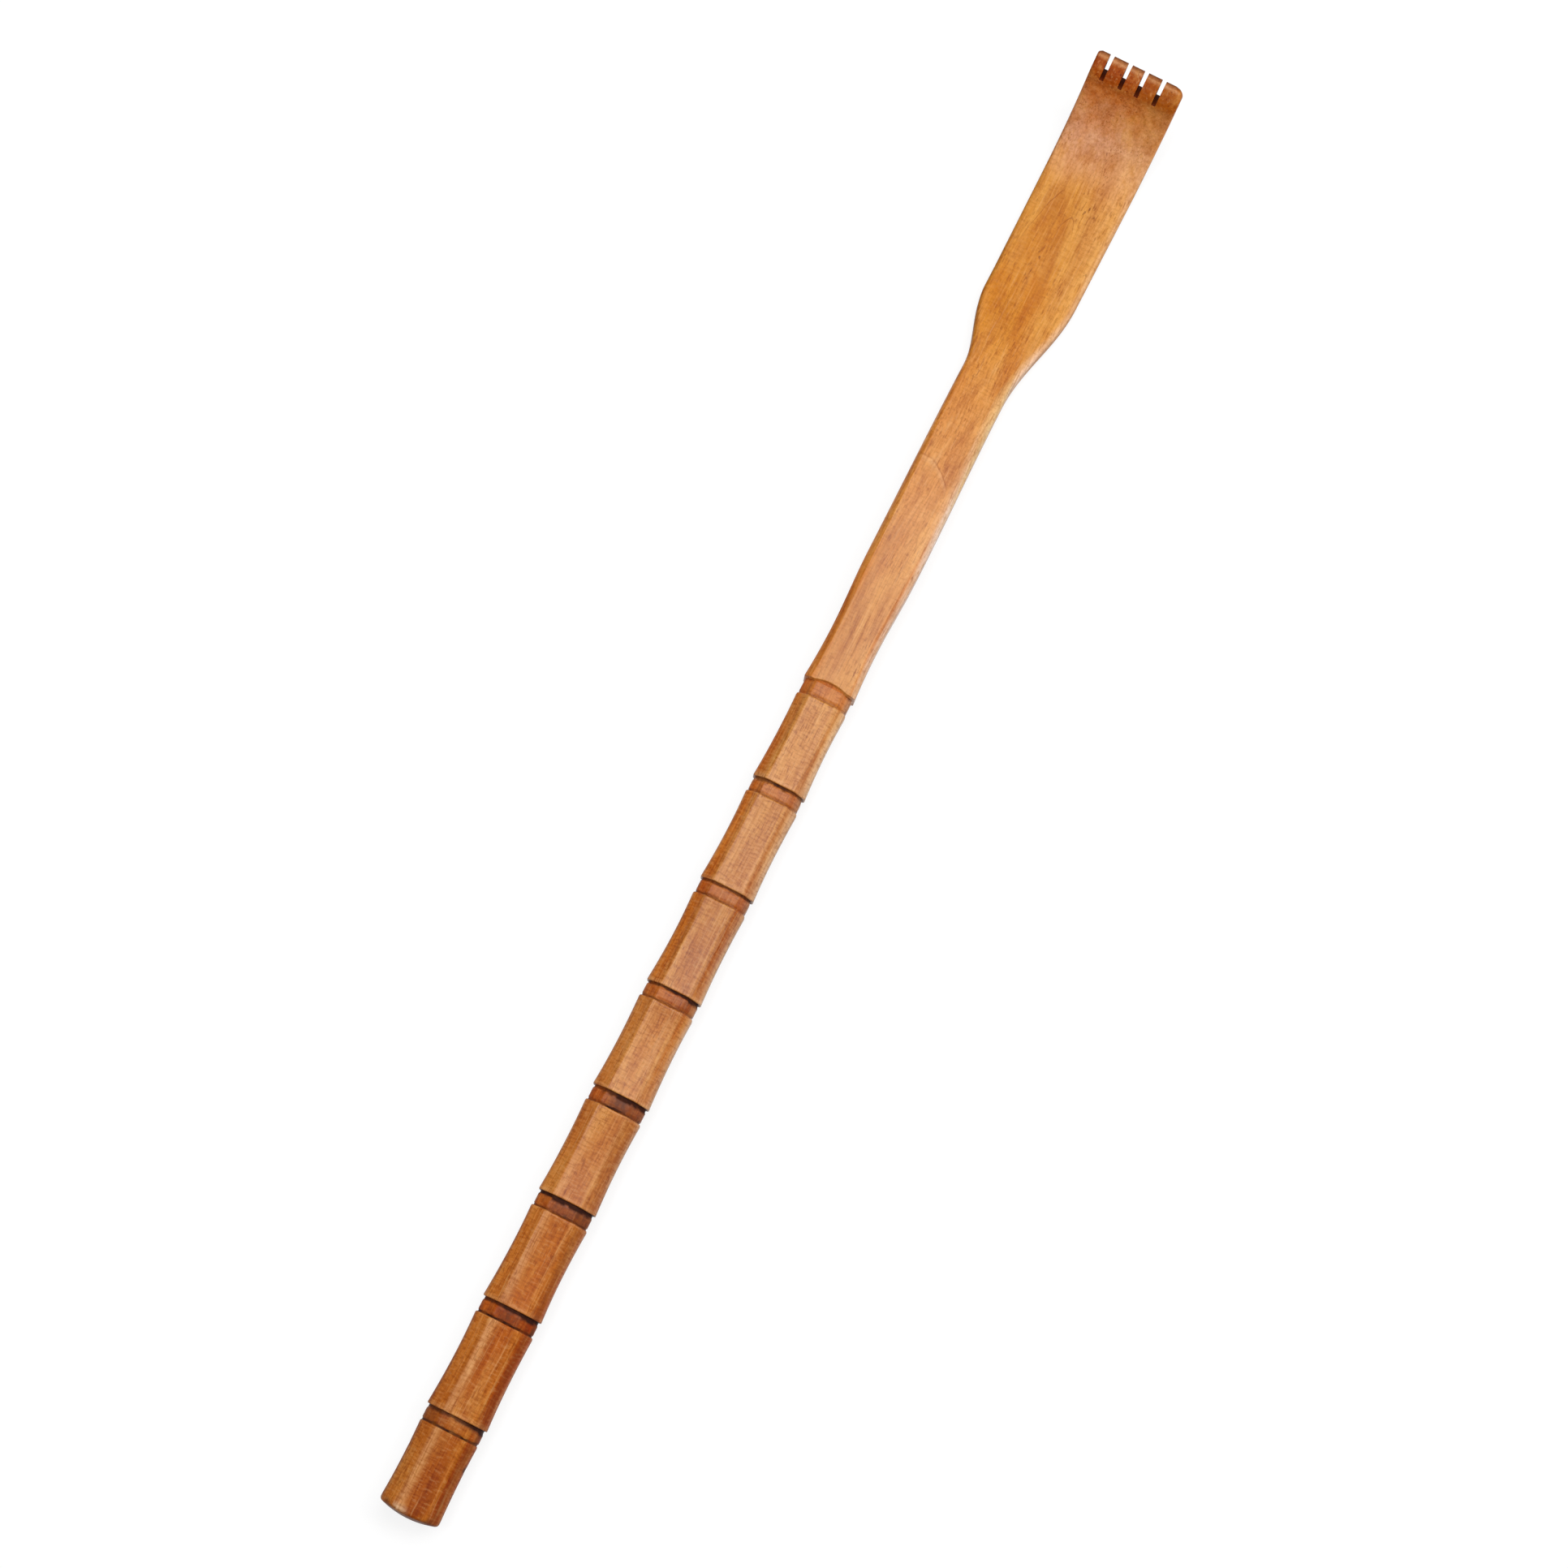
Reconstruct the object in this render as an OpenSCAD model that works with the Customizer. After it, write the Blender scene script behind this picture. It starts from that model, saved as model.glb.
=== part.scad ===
// Wooden back scratcher: a bamboo-style carved handle, dowelled to a flat neck that
// widens into a paddle whose end hooks up into five short claws.
// The scratcher lies on its back. +Y runs from the handle's end to the claws, +Z is up,
// and the origin is the middle of the floor under it. Millimetres.

/* [Handle] */
// Carved bamboo segments along the handle
segment_count = 8; // [4:1:10]
// Length from one segment's lip to the next
segment_pitch = 35.45; // [30:0.05:42]
// Length of the last segment with its groove, from the domed end
end_segment = 32.5; // [26:0.1:40]
// Length of the top segment with its groove, next to the neck
top_segment = 34.4; // [30:0.1:42]
// Width over the first lip, next to the end segment
lip_width_end = 19.8; // [17:0.1:23]
// Width over the last lip, at the joint with the neck
lip_width_top = 17.3; // [15:0.1:19]
// Thickness over the first lip, next to the end segment
lip_thick_end = 14.8; // [13.5:0.1:17]
// Thickness over the last lip, at the joint with the neck
lip_thick_top = 13.2; // [12:0.1:15]
// Width of the flat along the front and the back, between the bevels
front_flat = 9.9; // [8:0.1:11]
// Length of the carved groove under each lip
groove_length = 4.9; // [3:0.1:6]
// Depth of the carved groove under the lip
groove_depth = 0.6; // [0.55:0.05:1.2]
// Radius of the hollow along each segment
waist_radius = 250; // [200:5:400]
// Distance from a segment's lip to its slimmest place
waist_from_lip = 18; // [14:0.5:20]
// Radius of the domed end
dome_radius = 28; // [20:1:60]

/* [Neck] */
// Length from the joint to the start of the right shoulder
neck_length = 107.7; // [90:0.1:130]
// Width of the slim place just above the joint
neck_waist_width = 15.9; // [14:0.1:17]
// Thickness of the slim place just above the joint
neck_waist_thick = 12.2; // [11:0.1:13.5]
// Distance from the joint to the slim place
neck_waist_at = 18; // [14:0.5:22]
// Width of the swell above the slim place
neck_swell_width = 17.4; // [15:0.1:19]
// Thickness of the swell above the slim place
neck_swell_thick = 13; // [11.5:0.1:14.5]
// Distance from the joint to the swell
neck_swell_at = 45; // [36:1:55]
// Width just below the shoulders
throat_width = 17; // [14:0.1:19]
// Leg of the bevel along the neck's edges at the joint
neck_bevel = 2; // [1.2:0.1:4]

/* [Paddle] */
// Length of the right shoulder
right_shoulder = 41; // [30:1:50]
// Length of the left shoulder, which is carved sharper
left_shoulder = 28; // [18:1:30]
// How far the left shoulder starts above the right one
left_shoulder_rise = 6; // [5:1:12]
// Flat length from the right shoulder to the hook
paddle_length = 35; // [25:0.5:60]
// Width of the paddle at the shoulders
paddle_width = 29.1; // [24:0.1:34]
// Width over the five claws
claw_width = 30.1; // [27:0.1:36]
// Thickness of the paddle
paddle_thick = 5.6; // [4.5:0.1:6.5]

/* [Claws] */
// Radius of the back of the hook
hook_radius = 36; // [26:0.5:48]
// Angle that the hook turns up
hook_angle = 66; // [45:1:72]
// Straight length of a claw after the hook
claw_length = 7.25; // [5:0.05:10]
// Thickness of a claw at its tip
tip_thick = 2; // [1.5:0.1:3]
// Widths of the first four claws from the left, and the fifth takes the rest
claw_widths = [3.95, 4.95, 4.3, 4.75]; // [3:0.05:6]
// Width of each slot between claws
slot_width = 1.4; // [1:0.05:2]
// Depth of the slots from the tips
slot_depth = 6.6; // [4:0.1:9]
// Radius of the rounded outer corner of the right claw
right_corner = 2.6; // [1:0.1:3]
// Radius of the outer corner of the left claw
left_corner = 0.6; // [0.3:0.1:2]

/* [Joint and hole] */
// Diameter of the joining dowel
dowel_d = 6; // [5:0.5:7]
// Length of the joining dowel, half of it in each piece
dowel_length = 40; // [24:1:50]
// Chamfer on the dowel's ends
dowel_chamfer = 0.8; // [0.3:0.1:1.2]
// Flutes along the dowel that let the glue out
flute_count = 12; // [6:1:16]
// Radius of a flute
flute_radius = 0.35; // [0.2:0.05:0.45]
// Glue gap around the dowel
dowel_gap = 0.05; // [0.02:0.01:0.15]
// Free depth of each bore past the dowel's end
dowel_end_gap = 0.5; // [0.3:0.1:2]
// Diameter of the hanging hole through the end segment
hang_hole_d = 2.5; // [2:0.1:4]
// Distance of the hanging hole from the handle's end
hang_hole_at = 19.8; // [12:0.1:22]

/* [Hidden] */
handle_length = end_segment + (segment_count - 2) * segment_pitch + top_segment;
axis_z = lip_thick_end / 2;
swell_y = handle_length + neck_swell_at;
shoulder_start = handle_length + neck_length;
shoulder_end = shoulder_start + right_shoulder;
left_start = shoulder_start + left_shoulder_rise;
hook_start = shoulder_end + paddle_length;
hook_end_y = hook_start + hook_radius * sin(hook_angle);
hook_end_z = hook_radius * (1 - cos(hook_angle));
tip_y = hook_end_y + claw_length * cos(hook_angle);
tip_z = hook_end_z + claw_length * sin(hook_angle);
inner_radius = hook_radius - paddle_thick;
waist_sag = pow(waist_from_lip, 2) / (2 * waist_radius);
dowel_depth = dowel_length / 2 + dowel_end_gap;
// Half the side of a block that is larger than any section of the scratcher
reach = claw_width + lip_width_end;
// Length by which a cut runs past the face that it opens
past = 1;
// Height at which the neck's bevels have run clear of the wood
bevel_runout = 0.5;
// Steps along the curved outlines of a segment, the neck and the hook
waist_steps = 6;
outline_steps = 48;
hook_steps = 24;
// Sides of the round cuts
round_fn = 96;

function mix(a, b, u) = a + (b - a) * u;
function ease(u) = (1 - cos(180 * max(0, min(1, u)))) / 2;

// Distance of a segment's lip from the handle's end
function lip_at(k) =
    k == 0 ? 0
    : k == segment_count ? handle_length
    : end_segment + (k - 1) * segment_pitch;

// Straight taper of a size over the lips, from the first lip to the joint
function lip_size(k, end_size, top_size) =
    mix(end_size, top_size, (lip_at(max(k, 1)) - end_segment) / (handle_length - end_segment));

// Half of the handle's size over lip k, seen along the front, the side or a bevel
function lip_half_width(k) = lip_size(k, lip_width_end, lip_width_top) / 2;
function lip_half_thick(k) = lip_size(k, lip_thick_end, lip_thick_top) / 2;
function lip_half(k, angle) =
    angle == 0 ? lip_half_width(k)
    : angle == 90 ? lip_half_thick(k)
    : (front_flat / 2 + lip_half_thick(k)) / sqrt(2);
function groove_half(k, angle) = lip_half(k, angle) - groove_depth;

// Half size of a segment at d from its lip: a shallow parabola about its slimmest place
function segment_half(lip, d) = lip - waist_sag + pow(d - waist_from_lip, 2) / (2 * waist_radius);

// One side of the handle's outline, from its end to the joint: each segment and the groove after it
function handle_side(angle) = [
    for (k = [0 : segment_count - 1])
        let (lip = lip_half(k, angle))
        let (length = lip_at(k + 1) - lip_at(k) - groove_length)
        each concat(
            [for (j = [0 : waist_steps])
                let (d = length * j / waist_steps)
                [segment_half(lip, d), lip_at(k) + d]],
            [for (y = [lip_at(k) + length, lip_at(k + 1)]) [groove_half(k + 1, angle), y]]
        )
];

// Half size of the neck at n from the joint: a hollow up to the slim place, then a swell
function neck_half(n, lip, waist, swell) =
    (n < neck_waist_at
        ? waist + (lip - waist) * pow(1 - n / neck_waist_at, 2)
        : mix(waist, swell, ease((n - neck_waist_at) / (neck_swell_at - neck_waist_at)))) / 2;

function neck_half_width(y) =
    let (n = y - handle_length)
    n < neck_swell_at
        ? neck_half(n, lip_width_top, neck_waist_width, neck_swell_width)
        : mix(neck_swell_width, throat_width,
            ease((n - neck_swell_at) / (neck_length - neck_swell_at))) / 2;

function neck_half_thick(y) =
    neck_half(y - handle_length, lip_thick_top, neck_waist_thick, neck_swell_thick);

function paddle_half(y) =
    mix(paddle_width, claw_width, max(0, (y - shoulder_end) / (tip_y - shoulder_end))) / 2;

// Half widths of the head's front outline on its right and left sides
function right_half(y) =
    mix(neck_half_width(y), paddle_half(y), ease((y - shoulder_start) / right_shoulder));
function left_half(y) =
    mix(neck_half_width(y), paddle_half(y), ease((y - left_start) / left_shoulder));

// Heights of the neck's front and back, easing down into the paddle
function slope(y) = ease((y - swell_y) / (shoulder_end - swell_y));
function front_z(y) = mix(axis_z + neck_half_thick(y), paddle_thick, slope(y));
function back_z(y) = mix(axis_z - neck_half_thick(y), 0, slope(y));

// Bevel of the neck's edges, which runs out at the right shoulder's end
function bevel_leg(y) = mix(neck_bevel, -bevel_runout, slope(y));

outline_y = [for (i = [0 : outline_steps]) mix(handle_length, shoulder_end, i / outline_steps)];
bevel_ys = concat([handle_length - past], outline_y);

// Places on the left edge of each slot, from the left side of the claws
function slot_left(i) =
    i == 0 ? claw_widths[0] - claw_width / 2 : slot_left(i - 1) + slot_width + claw_widths[i];

// Outlines of the handle

module handle_outline(angle) {
    right = handle_side(angle);
    last = len(right) - 1;
    polygon(concat(right, [for (i = [last : -1 : 0]) [-right[i][0], right[i][1]]]));
}

// Wood outside the domed end, up to the dome's middle
module dome_waste() {
    on_axis(0) rotate_extrude($fn = round_fn)
        difference() {
            translate([0, -past]) square([dome_radius + past, dome_radius + past]);
            translate([0, dome_radius]) circle(r = dome_radius, $fn = round_fn);
        }
}

// Outlines of the neck, paddle and hook

module front_outline() {
    polygon(concat(
        [for (y = outline_y) [right_half(y), y]],
        [[claw_width / 2, tip_y], [claw_width / 2, tip_y + reach]],
        [[-claw_width / 2, tip_y + reach], [-claw_width / 2, tip_y]],
        [for (i = [outline_steps : -1 : 0]) [-left_half(outline_y[i]), outline_y[i]]]
    ));
}

module side_outline() {
    inner_tip = [tip_y - tip_thick * sin(hook_angle), tip_z + tip_thick * cos(hook_angle)];
    polygon(concat(
        [for (y = outline_y) [y, back_z(y)]],
        [for (i = [0 : hook_steps])
            let (a = hook_angle * i / hook_steps)
            [hook_start + hook_radius * sin(a), hook_radius * (1 - cos(a))]],
        [[tip_y, tip_z], inner_tip],
        [for (i = [hook_steps : -1 : 0])
            let (a = hook_angle * i / hook_steps)
            [hook_start + inner_radius * sin(a), hook_radius - inner_radius * cos(a)]],
        [for (i = [outline_steps : -1 : 0]) [outline_y[i], front_z(outline_y[i])]]
    ));
}

// Wood planed off one long edge of the neck, on the front or on the back
module edge_bevel(half_widths, front) {
    rotate([0, front ? -45 : 45, 0])
        linear_extrude(height = 2 * reach, center = true)
            polygon(concat(
                [for (i = [0 : outline_steps + 1])
                    let (y = max(handle_length, bevel_ys[i]))
                    let (height = front ? front_z(y) : -back_z(y))
                    [(half_widths[i] + height - bevel_leg(y)) / sqrt(2), bevel_ys[i]]],
                [[reach, shoulder_end], [reach, handle_length - past]]
            ));
}

module neck_bevels() {
    right_halves = [for (y = bevel_ys) right_half(max(handle_length, y))];
    left_halves = [for (y = bevel_ys) left_half(max(handle_length, y))];
    for (front = [true, false]) {
        edge_bevel(right_halves, front);
        mirror([1, 0, 0]) edge_bevel(left_halves, front);
    }
}

// Cuts in the claws, drawn flat with the tips along Y = 0 and bent to the hook's angle

module at_claws() {
    translate([0, tip_y, tip_z]) rotate([hook_angle, 0, 0]) children();
}

module corner_cut(side, radius) {
    translate([side * (claw_width / 2 - radius), -radius, -reach])
        linear_extrude(height = 2 * reach)
            difference() {
                translate([side > 0 ? 0 : -2 * radius, 0]) square(2 * radius);
                circle(r = radius, $fn = round_fn);
            }
}

module claw_cuts() {
    at_claws() {
        for (i = [0 : len(claw_widths) - 1])
            translate([slot_left(i), -slot_depth, -reach])
                cube([slot_width, slot_depth + reach, 2 * reach]);
        corner_cut(1, right_corner);
        corner_cut(-1, left_corner);
    }
}

// Along the handle's axis, at y from its end
module on_axis(y) {
    translate([0, y, axis_z]) rotate([-90, 0, 0]) children();
}

module dowel_bore(from, to) {
    on_axis(from) cylinder(d = dowel_d + 2 * dowel_gap, h = to - from, $fn = round_fn);
}

module centred() {
    translate([0, -tip_y / 2, 0]) children();
}

// Sub-parts

module claw_head() {
    color("peru") centred() difference() {
        intersection() {
            translate([0, 0, -reach]) linear_extrude(height = 3 * reach) front_outline();
            rotate([90, 0, 90]) linear_extrude(height = 2 * reach, center = true) side_outline();
        }
        neck_bevels();
        claw_cuts();
        dowel_bore(handle_length - past, handle_length + dowel_depth);
    }
}

module bamboo_handle() {
    color("sienna") centred() difference() {
        intersection_for (angle = [0, 90, 45, -45])
            translate([0, 0, axis_z]) rotate([0, angle, 0])
                linear_extrude(height = 2 * reach, center = true) handle_outline(angle);
        dome_waste();
        dowel_bore(handle_length - dowel_depth, handle_length + past);
        translate([0, hang_hole_at, axis_z]) rotate([0, 90, 0])
            cylinder(d = hang_hole_d, h = 2 * reach, center = true, $fn = round_fn);
    }
}

module joint_dowel() {
    radius = dowel_d / 2;
    half = dowel_length / 2;
    color("burlywood") centred() on_axis(handle_length) difference() {
        rotate_extrude($fn = round_fn)
            polygon([
                [0, -half], [radius - dowel_chamfer, -half], [radius, dowel_chamfer - half],
                [radius, half - dowel_chamfer], [radius - dowel_chamfer, half], [0, half],
            ]);
        for (i = [0 : flute_count - 1])
            rotate([0, 0, 360 * i / flute_count])
                translate([radius, 0, 0])
                    cylinder(r = flute_radius, h = dowel_length + 2 * past, center = true, $fn = round_fn);
    }
}

claw_head();
bamboo_handle();
joint_dowel();
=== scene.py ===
"""Looks of a carved wooden back scratcher: claw head, bamboo-style handle and hidden dowel."""

import logging
from dataclasses import dataclass
from enum import Enum
from typing import Any, Sequence, Union

import bmesh
import bpy
import numpy as np
from mathutils import Matrix, Vector


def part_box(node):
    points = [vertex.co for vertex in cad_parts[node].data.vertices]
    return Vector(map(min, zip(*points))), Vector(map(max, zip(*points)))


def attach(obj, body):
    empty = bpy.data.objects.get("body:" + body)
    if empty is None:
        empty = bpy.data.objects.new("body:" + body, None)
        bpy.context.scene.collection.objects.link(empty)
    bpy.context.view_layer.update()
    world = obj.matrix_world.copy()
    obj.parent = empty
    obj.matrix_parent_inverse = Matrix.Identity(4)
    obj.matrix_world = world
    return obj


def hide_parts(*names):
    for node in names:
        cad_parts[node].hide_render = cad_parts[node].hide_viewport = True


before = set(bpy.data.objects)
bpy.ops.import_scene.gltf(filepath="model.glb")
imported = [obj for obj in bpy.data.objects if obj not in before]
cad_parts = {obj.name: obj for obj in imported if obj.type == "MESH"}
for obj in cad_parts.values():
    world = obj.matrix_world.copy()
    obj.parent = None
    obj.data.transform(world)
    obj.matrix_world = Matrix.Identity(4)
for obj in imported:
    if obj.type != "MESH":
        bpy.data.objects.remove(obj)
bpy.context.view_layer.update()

LOG = logging.getLogger("back_scratcher")
MM = 0.001
BODY = "root"

Array = np.ndarray
Colour = tuple[float, float, float]
Faces = list[list[int]]
Lanes = tuple[tuple[float, float, float], ...]
Waves = tuple[tuple[float, float, float], ...]

NOISE_MEAN = 0.5
JUST_INSIDE = 1e-6
FINE_STEPS = 40


# Curves and grids

def mix(a: Any, b: Any, u: Any) -> Any:
    """Straight blend from a, at u = 0, to b, at u = 1."""
    return a + (b - a) * u


def ease(u: Any) -> Any:
    """Half a cosine wave: 0 below u = 0, 1 above u = 1, level at both ends."""
    return (1 - np.cos(np.pi * np.clip(u, 0, 1))) / 2


def bell(q: Array, width: float) -> Array:
    """Bell curve: 1 at q = 0 and about a third at q = width."""
    return np.exp(-(q / width) ** 2)


def plateau(q: Array, low: Any, high: Any, soft: float) -> Array:
    """A step up at low and down at high, each eased over twice the soft length."""
    up = ease((q - low + soft) / (2 * soft))
    down = ease((q - high + soft) / (2 * soft))
    return up * (1 - down)


def round_over(depth: Array, radius: float) -> Array:
    """How far a quarter-round edge lies under a flat face, at a depth in from the edge.

    Args:
        depth: Distances from the edge.
        radius: Radius of the rounded edge.

    Returns:
        The drop, radius at the edge itself and 0 past the radius.
    """
    u = np.clip(1 - depth / radius, 0, 1)
    return radius * (1 - np.sqrt(1 - u ** 2))


def spaced_by_density(low: float, high: float, count: int, density: Any) -> Array:
    """Place stations so that their number per length follows a density.

    The density is summed along the length, and the stations lie at equal shares of the sum.

    Args:
        low: First station.
        high: Last station.
        count: Number of stations.
        density: Function of an array of places.

    Returns:
        The stations in rising order.
    """
    fine = np.linspace(low, high, FINE_STEPS * count)
    total = np.cumsum(density(fine))
    total = (total - total[0]) / (total[-1] - total[0])
    return np.interp(np.linspace(0, 1, count), total, fine)


def ring_quads(rows: int, columns: int) -> Array:
    """Quads of a tube whose rings are the rows of a grid, as an array of shape (rows - 1, columns, 4)."""
    index = np.arange(rows * columns).reshape(rows, columns)
    beside = np.roll(index, -1, axis=1)
    return np.stack([index[:-1], beside[:-1], beside[1:], index[1:]], axis=-1)


def new_piece(name: str, points: Array, faces: Faces) -> bpy.types.Object:
    """Make a smooth closed mesh object from points in millimetres.

    Args:
        name: Name of the piece.
        points: Array of shape (n, 3).
        faces: Lists of point numbers.

    Returns:
        The object, at the origin, with its faces turned outwards.
    """
    mesh = bpy.data.meshes.new(name)
    mesh.from_pydata((points * MM).tolist(), [], faces)
    work = bmesh.new()
    work.from_mesh(mesh)
    bmesh.ops.recalc_face_normals(work, faces=work.faces)
    work.to_mesh(mesh)
    work.free()
    mesh.shade_smooth()
    piece = bpy.data.objects.new(name, mesh)
    bpy.context.scene.collection.objects.link(piece)
    return piece


def points_of(piece: bpy.types.Object) -> Array:
    """Points of a piece's mesh in millimetres, as an array of shape (n, 3)."""
    flat = np.empty(3 * len(piece.data.vertices))
    piece.data.vertices.foreach_get("co", flat)
    return flat.reshape(-1, 3) / MM


def paint(piece: bpy.types.Object, stain: "Stain", values: Array, domain: str = "POINT") -> None:
    """Store one number per point or face on a piece, for its finish to read.

    Args:
        piece: The object to paint.
        stain: What is painted.
        values: One value per point or face.
        domain: "POINT" or "FACE".
    """
    layer = piece.data.attributes.new(stain.value, "FLOAT", domain)
    layer.data.foreach_set("value", np.ascontiguousarray(values, dtype=np.float32))


def drill(piece: bpy.types.Object, centre: Array, radius: float, length: float) -> None:
    """Cut a round hole along X through a piece.

    Args:
        piece: The object to drill.
        centre: Middle of the hole in millimetres.
        radius: Radius of the hole in millimetres.
        length: Length of the cut in millimetres.
    """
    sides = 48
    turn = np.linspace(0, 2 * np.pi, sides, endpoint=False)
    ring = np.stack([np.zeros(sides), np.cos(turn), np.sin(turn)], axis=1) * radius + centre
    ends = np.array([[-length / 2, 0, 0], [length / 2, 0, 0]])
    points = (ring[None] + ends[:, None]).reshape(-1, 3)
    faces = ring_quads(2, sides).reshape(-1, 4).tolist()
    faces += [list(range(sides)), list(range(sides, 2 * sides))]
    bit = new_piece("drill_bit", points, faces)
    cut = piece.modifiers.new("hole", "BOOLEAN")
    cut.object = bit
    cut.solver = "EXACT"
    graph = bpy.context.evaluated_depsgraph_get()
    drilled = bpy.data.meshes.new_from_object(piece.evaluated_get(graph))
    piece.modifiers.remove(cut)
    drilled.name = piece.data.name
    piece.data = drilled
    bpy.data.objects.remove(bit)


# Shader expressions

class Value:
    """A shader number: arithmetic on it adds Math nodes to its graph."""

    def __init__(self, graph: "Graph", socket: bpy.types.NodeSocket) -> None:
        """Wrap an output socket of a graph."""
        self.graph = graph
        self.socket = socket

    def math(self, operation: str, *others: Any) -> "Value":
        """Add a Math node on this value and others, in that order."""
        numbers = dict(enumerate((self, *others)))
        return self.graph.node("ShaderNodeMath", {"operation": operation}, numbers)[0]

    def __add__(self, other: Any) -> "Value":
        """This plus other."""
        return self.math("ADD", other)

    __radd__ = __add__

    def __sub__(self, other: Any) -> "Value":
        """This minus other."""
        return self.math("SUBTRACT", other)

    def __rsub__(self, other: Any) -> "Value":
        """Other minus this."""
        return self.graph.node("ShaderNodeMath", {"operation": "SUBTRACT"}, {0: other, 1: self})[0]

    def __mul__(self, other: Any) -> "Value":
        """This times other."""
        return self.math("MULTIPLY", other)

    __rmul__ = __mul__

    def __truediv__(self, other: Any) -> "Value":
        """This divided by other."""
        return self.math("DIVIDE", other)

    def __pow__(self, other: Any) -> "Value":
        """This to a power."""
        return self.math("POWER", other)

    def step(self, low: float, high: float) -> "Value":
        """Smooth step from 0 at low to 1 at high, or the reverse where low is the greater."""
        ends = {"Value": self, "From Min": low, "From Max": high}
        return self.graph.node("ShaderNodeMapRange", {"interpolation_type": "SMOOTHSTEP"}, ends)[0]


class Node:
    """A node whose outputs come back as shader values."""

    def __init__(self, graph: "Graph", node: bpy.types.Node) -> None:
        """Wrap a node of a graph."""
        self.graph = graph
        self.node = node

    def __getitem__(self, key: Union[int, str]) -> Value:
        """Output socket by number or name."""
        return Value(self.graph, self.node.outputs[key])


class Graph:
    """The node tree of one material or of the world."""

    def __init__(self, tree: bpy.types.NodeTree) -> None:
        """Empty a node tree and keep it."""
        self.tree = tree
        tree.nodes.clear()

    def node(self, kind: str, settings: dict[str, Any], inputs: dict[Any, Any]) -> Node:
        """Add a node.

        Args:
            kind: The node's type.
            settings: Properties that are set first, with a ramp's stops under "stops".
            inputs: Numbers, colours or values by socket number or name.

        Returns:
            The node, for its outputs.
        """
        node = self.tree.nodes.new(kind)
        for key, setting in settings.items():
            if key == "stops":
                self.set_stops(node.color_ramp, setting)
            else:
                setattr(node, key, setting)
        for key, given in inputs.items():
            if isinstance(given, Value):
                self.tree.links.new(given.socket, node.inputs[key])
            else:
                node.inputs[key].default_value = given
        return Node(self, node)

    @staticmethod
    def set_stops(ramp: bpy.types.ColorRamp, stops: Sequence[tuple[float, Colour]]) -> None:
        """Give a colour ramp its stops, each a place from 0 to 1 and a colour."""
        ramp.interpolation = "EASE"
        while len(ramp.elements) < len(stops):
            ramp.elements.new(1.0)
        for element, (place, colour) in zip(ramp.elements, stops):
            element.position = place
            element.color = (*colour, 1.0)

    def blend(self, a: Any, b: Any, factor: Any, how: str = "MIX") -> Value:
        """Mix two colours, which are the Mix node's sockets 6 and 7 and its output 2.

        Args:
            a: Colour at factor 0.
            b: Colour at factor 1.
            factor: Number or value.
            how: Blend type of the Mix node.

        Returns:
            The mixed colour.
        """
        settings = {"data_type": "RGBA", "blend_type": how}
        given = {6: self.colour(a), 7: self.colour(b), 0: factor}
        return self.node("ShaderNodeMix", settings, given)[2]

    @staticmethod
    def colour(given: Any) -> Any:
        """A colour as a socket takes it: three numbers get a full alpha."""
        return (*given, 1.0) if isinstance(given, tuple) else given

    def scaled(self, vector: Value, by: tuple[float, float, float]) -> Value:
        """A vector times three numbers, one along each axis."""
        return self.node("ShaderNodeVectorMath", {"operation": "MULTIPLY"}, {0: vector, 1: by})[0]

    def noise(self, vector: Value, detail: float, rough: float) -> Value:
        """Soft noise from 0 to 1 whose lumps are about one unit of the vector across."""
        given = {"Vector": vector, "Scale": 1.0, "Detail": detail, "Roughness": rough}
        return self.node("ShaderNodeTexNoise", {}, given)["Fac"]

    def painted(self, stain: "Stain") -> Value:
        """Number that is painted on the piece, 0 where there is none."""
        return self.node("ShaderNodeAttribute", {"attribute_name": stain.value}, {})["Fac"]


def new_material(name: str) -> tuple[bpy.types.Material, Graph]:
    """A material and its empty graph."""
    material = bpy.data.materials.new(name)
    material.use_nodes = True
    return material, Graph(material.node_tree)


@dataclass(frozen=True)
class Weave:
    """A noise that is stretched along Y, as fibres are.

    Attributes:
        across: Lumps per unit of length across the grain.
        along: Lumps per unit of length along the grain.
        detail: Number of finer layers.
        rough: Strength of each finer layer.
    """

    across: float
    along: float
    detail: float = 2.0
    rough: float = 0.5

    def drawn(self, graph: Graph, place: Value) -> Value:
        """The noise at a place, from 0 to 1."""
        size = (self.across, self.along, self.across)
        return graph.noise(graph.scaled(place, size), self.detail, self.rough)


@dataclass(frozen=True)
class Cut:
    """A smooth step of a number, times a depth.

    Attributes:
        none: Where the step is 0.
        full: Where the step is 1, above or below that.
        depth: What the step is multiplied by.
    """

    none: float
    full: float
    depth: float = 1.0

    def of(self, number: Value) -> Value:
        """The step of a number, from 0 to the depth."""
        return number.step(self.none, self.full) * self.depth


# Finishes

class Stain(Enum):
    """Names of what is painted on the pieces for the finishes to read."""

    GROOVE = "groove_stain"
    # Soot, and painted shade in the grooves, on the dome, on the claws' far edges and along edges.
    SOOT_AND_SHADE = "soot_and_shade"
    # Burn lines, and painted shade under the lips and in the hanging hole.
    LINE = "burnt_line_and_shade"
    # Pale wear, painted sheen on edges and lips, and painted highlights on the claws' near edges.
    WEAR_AND_SHEEN = "pale_wear_and_sheen"
    # Tone of the facets: golden lacquer and painted light above 0, painted shade below 0.
    TONE_AND_SHADING = "tone_and_shading"
    # Painted highlights on the outer edges and on the dome's rim.
    RIM_HIGHLIGHT = "rim_highlight"
    # Slots' faces, dark from saw burn and painted shade.
    SLOT = "sawn_slot"
    # Claws' cut ends, which are painted lighter, as lit faces.
    TIP = "claw_tip"


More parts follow.
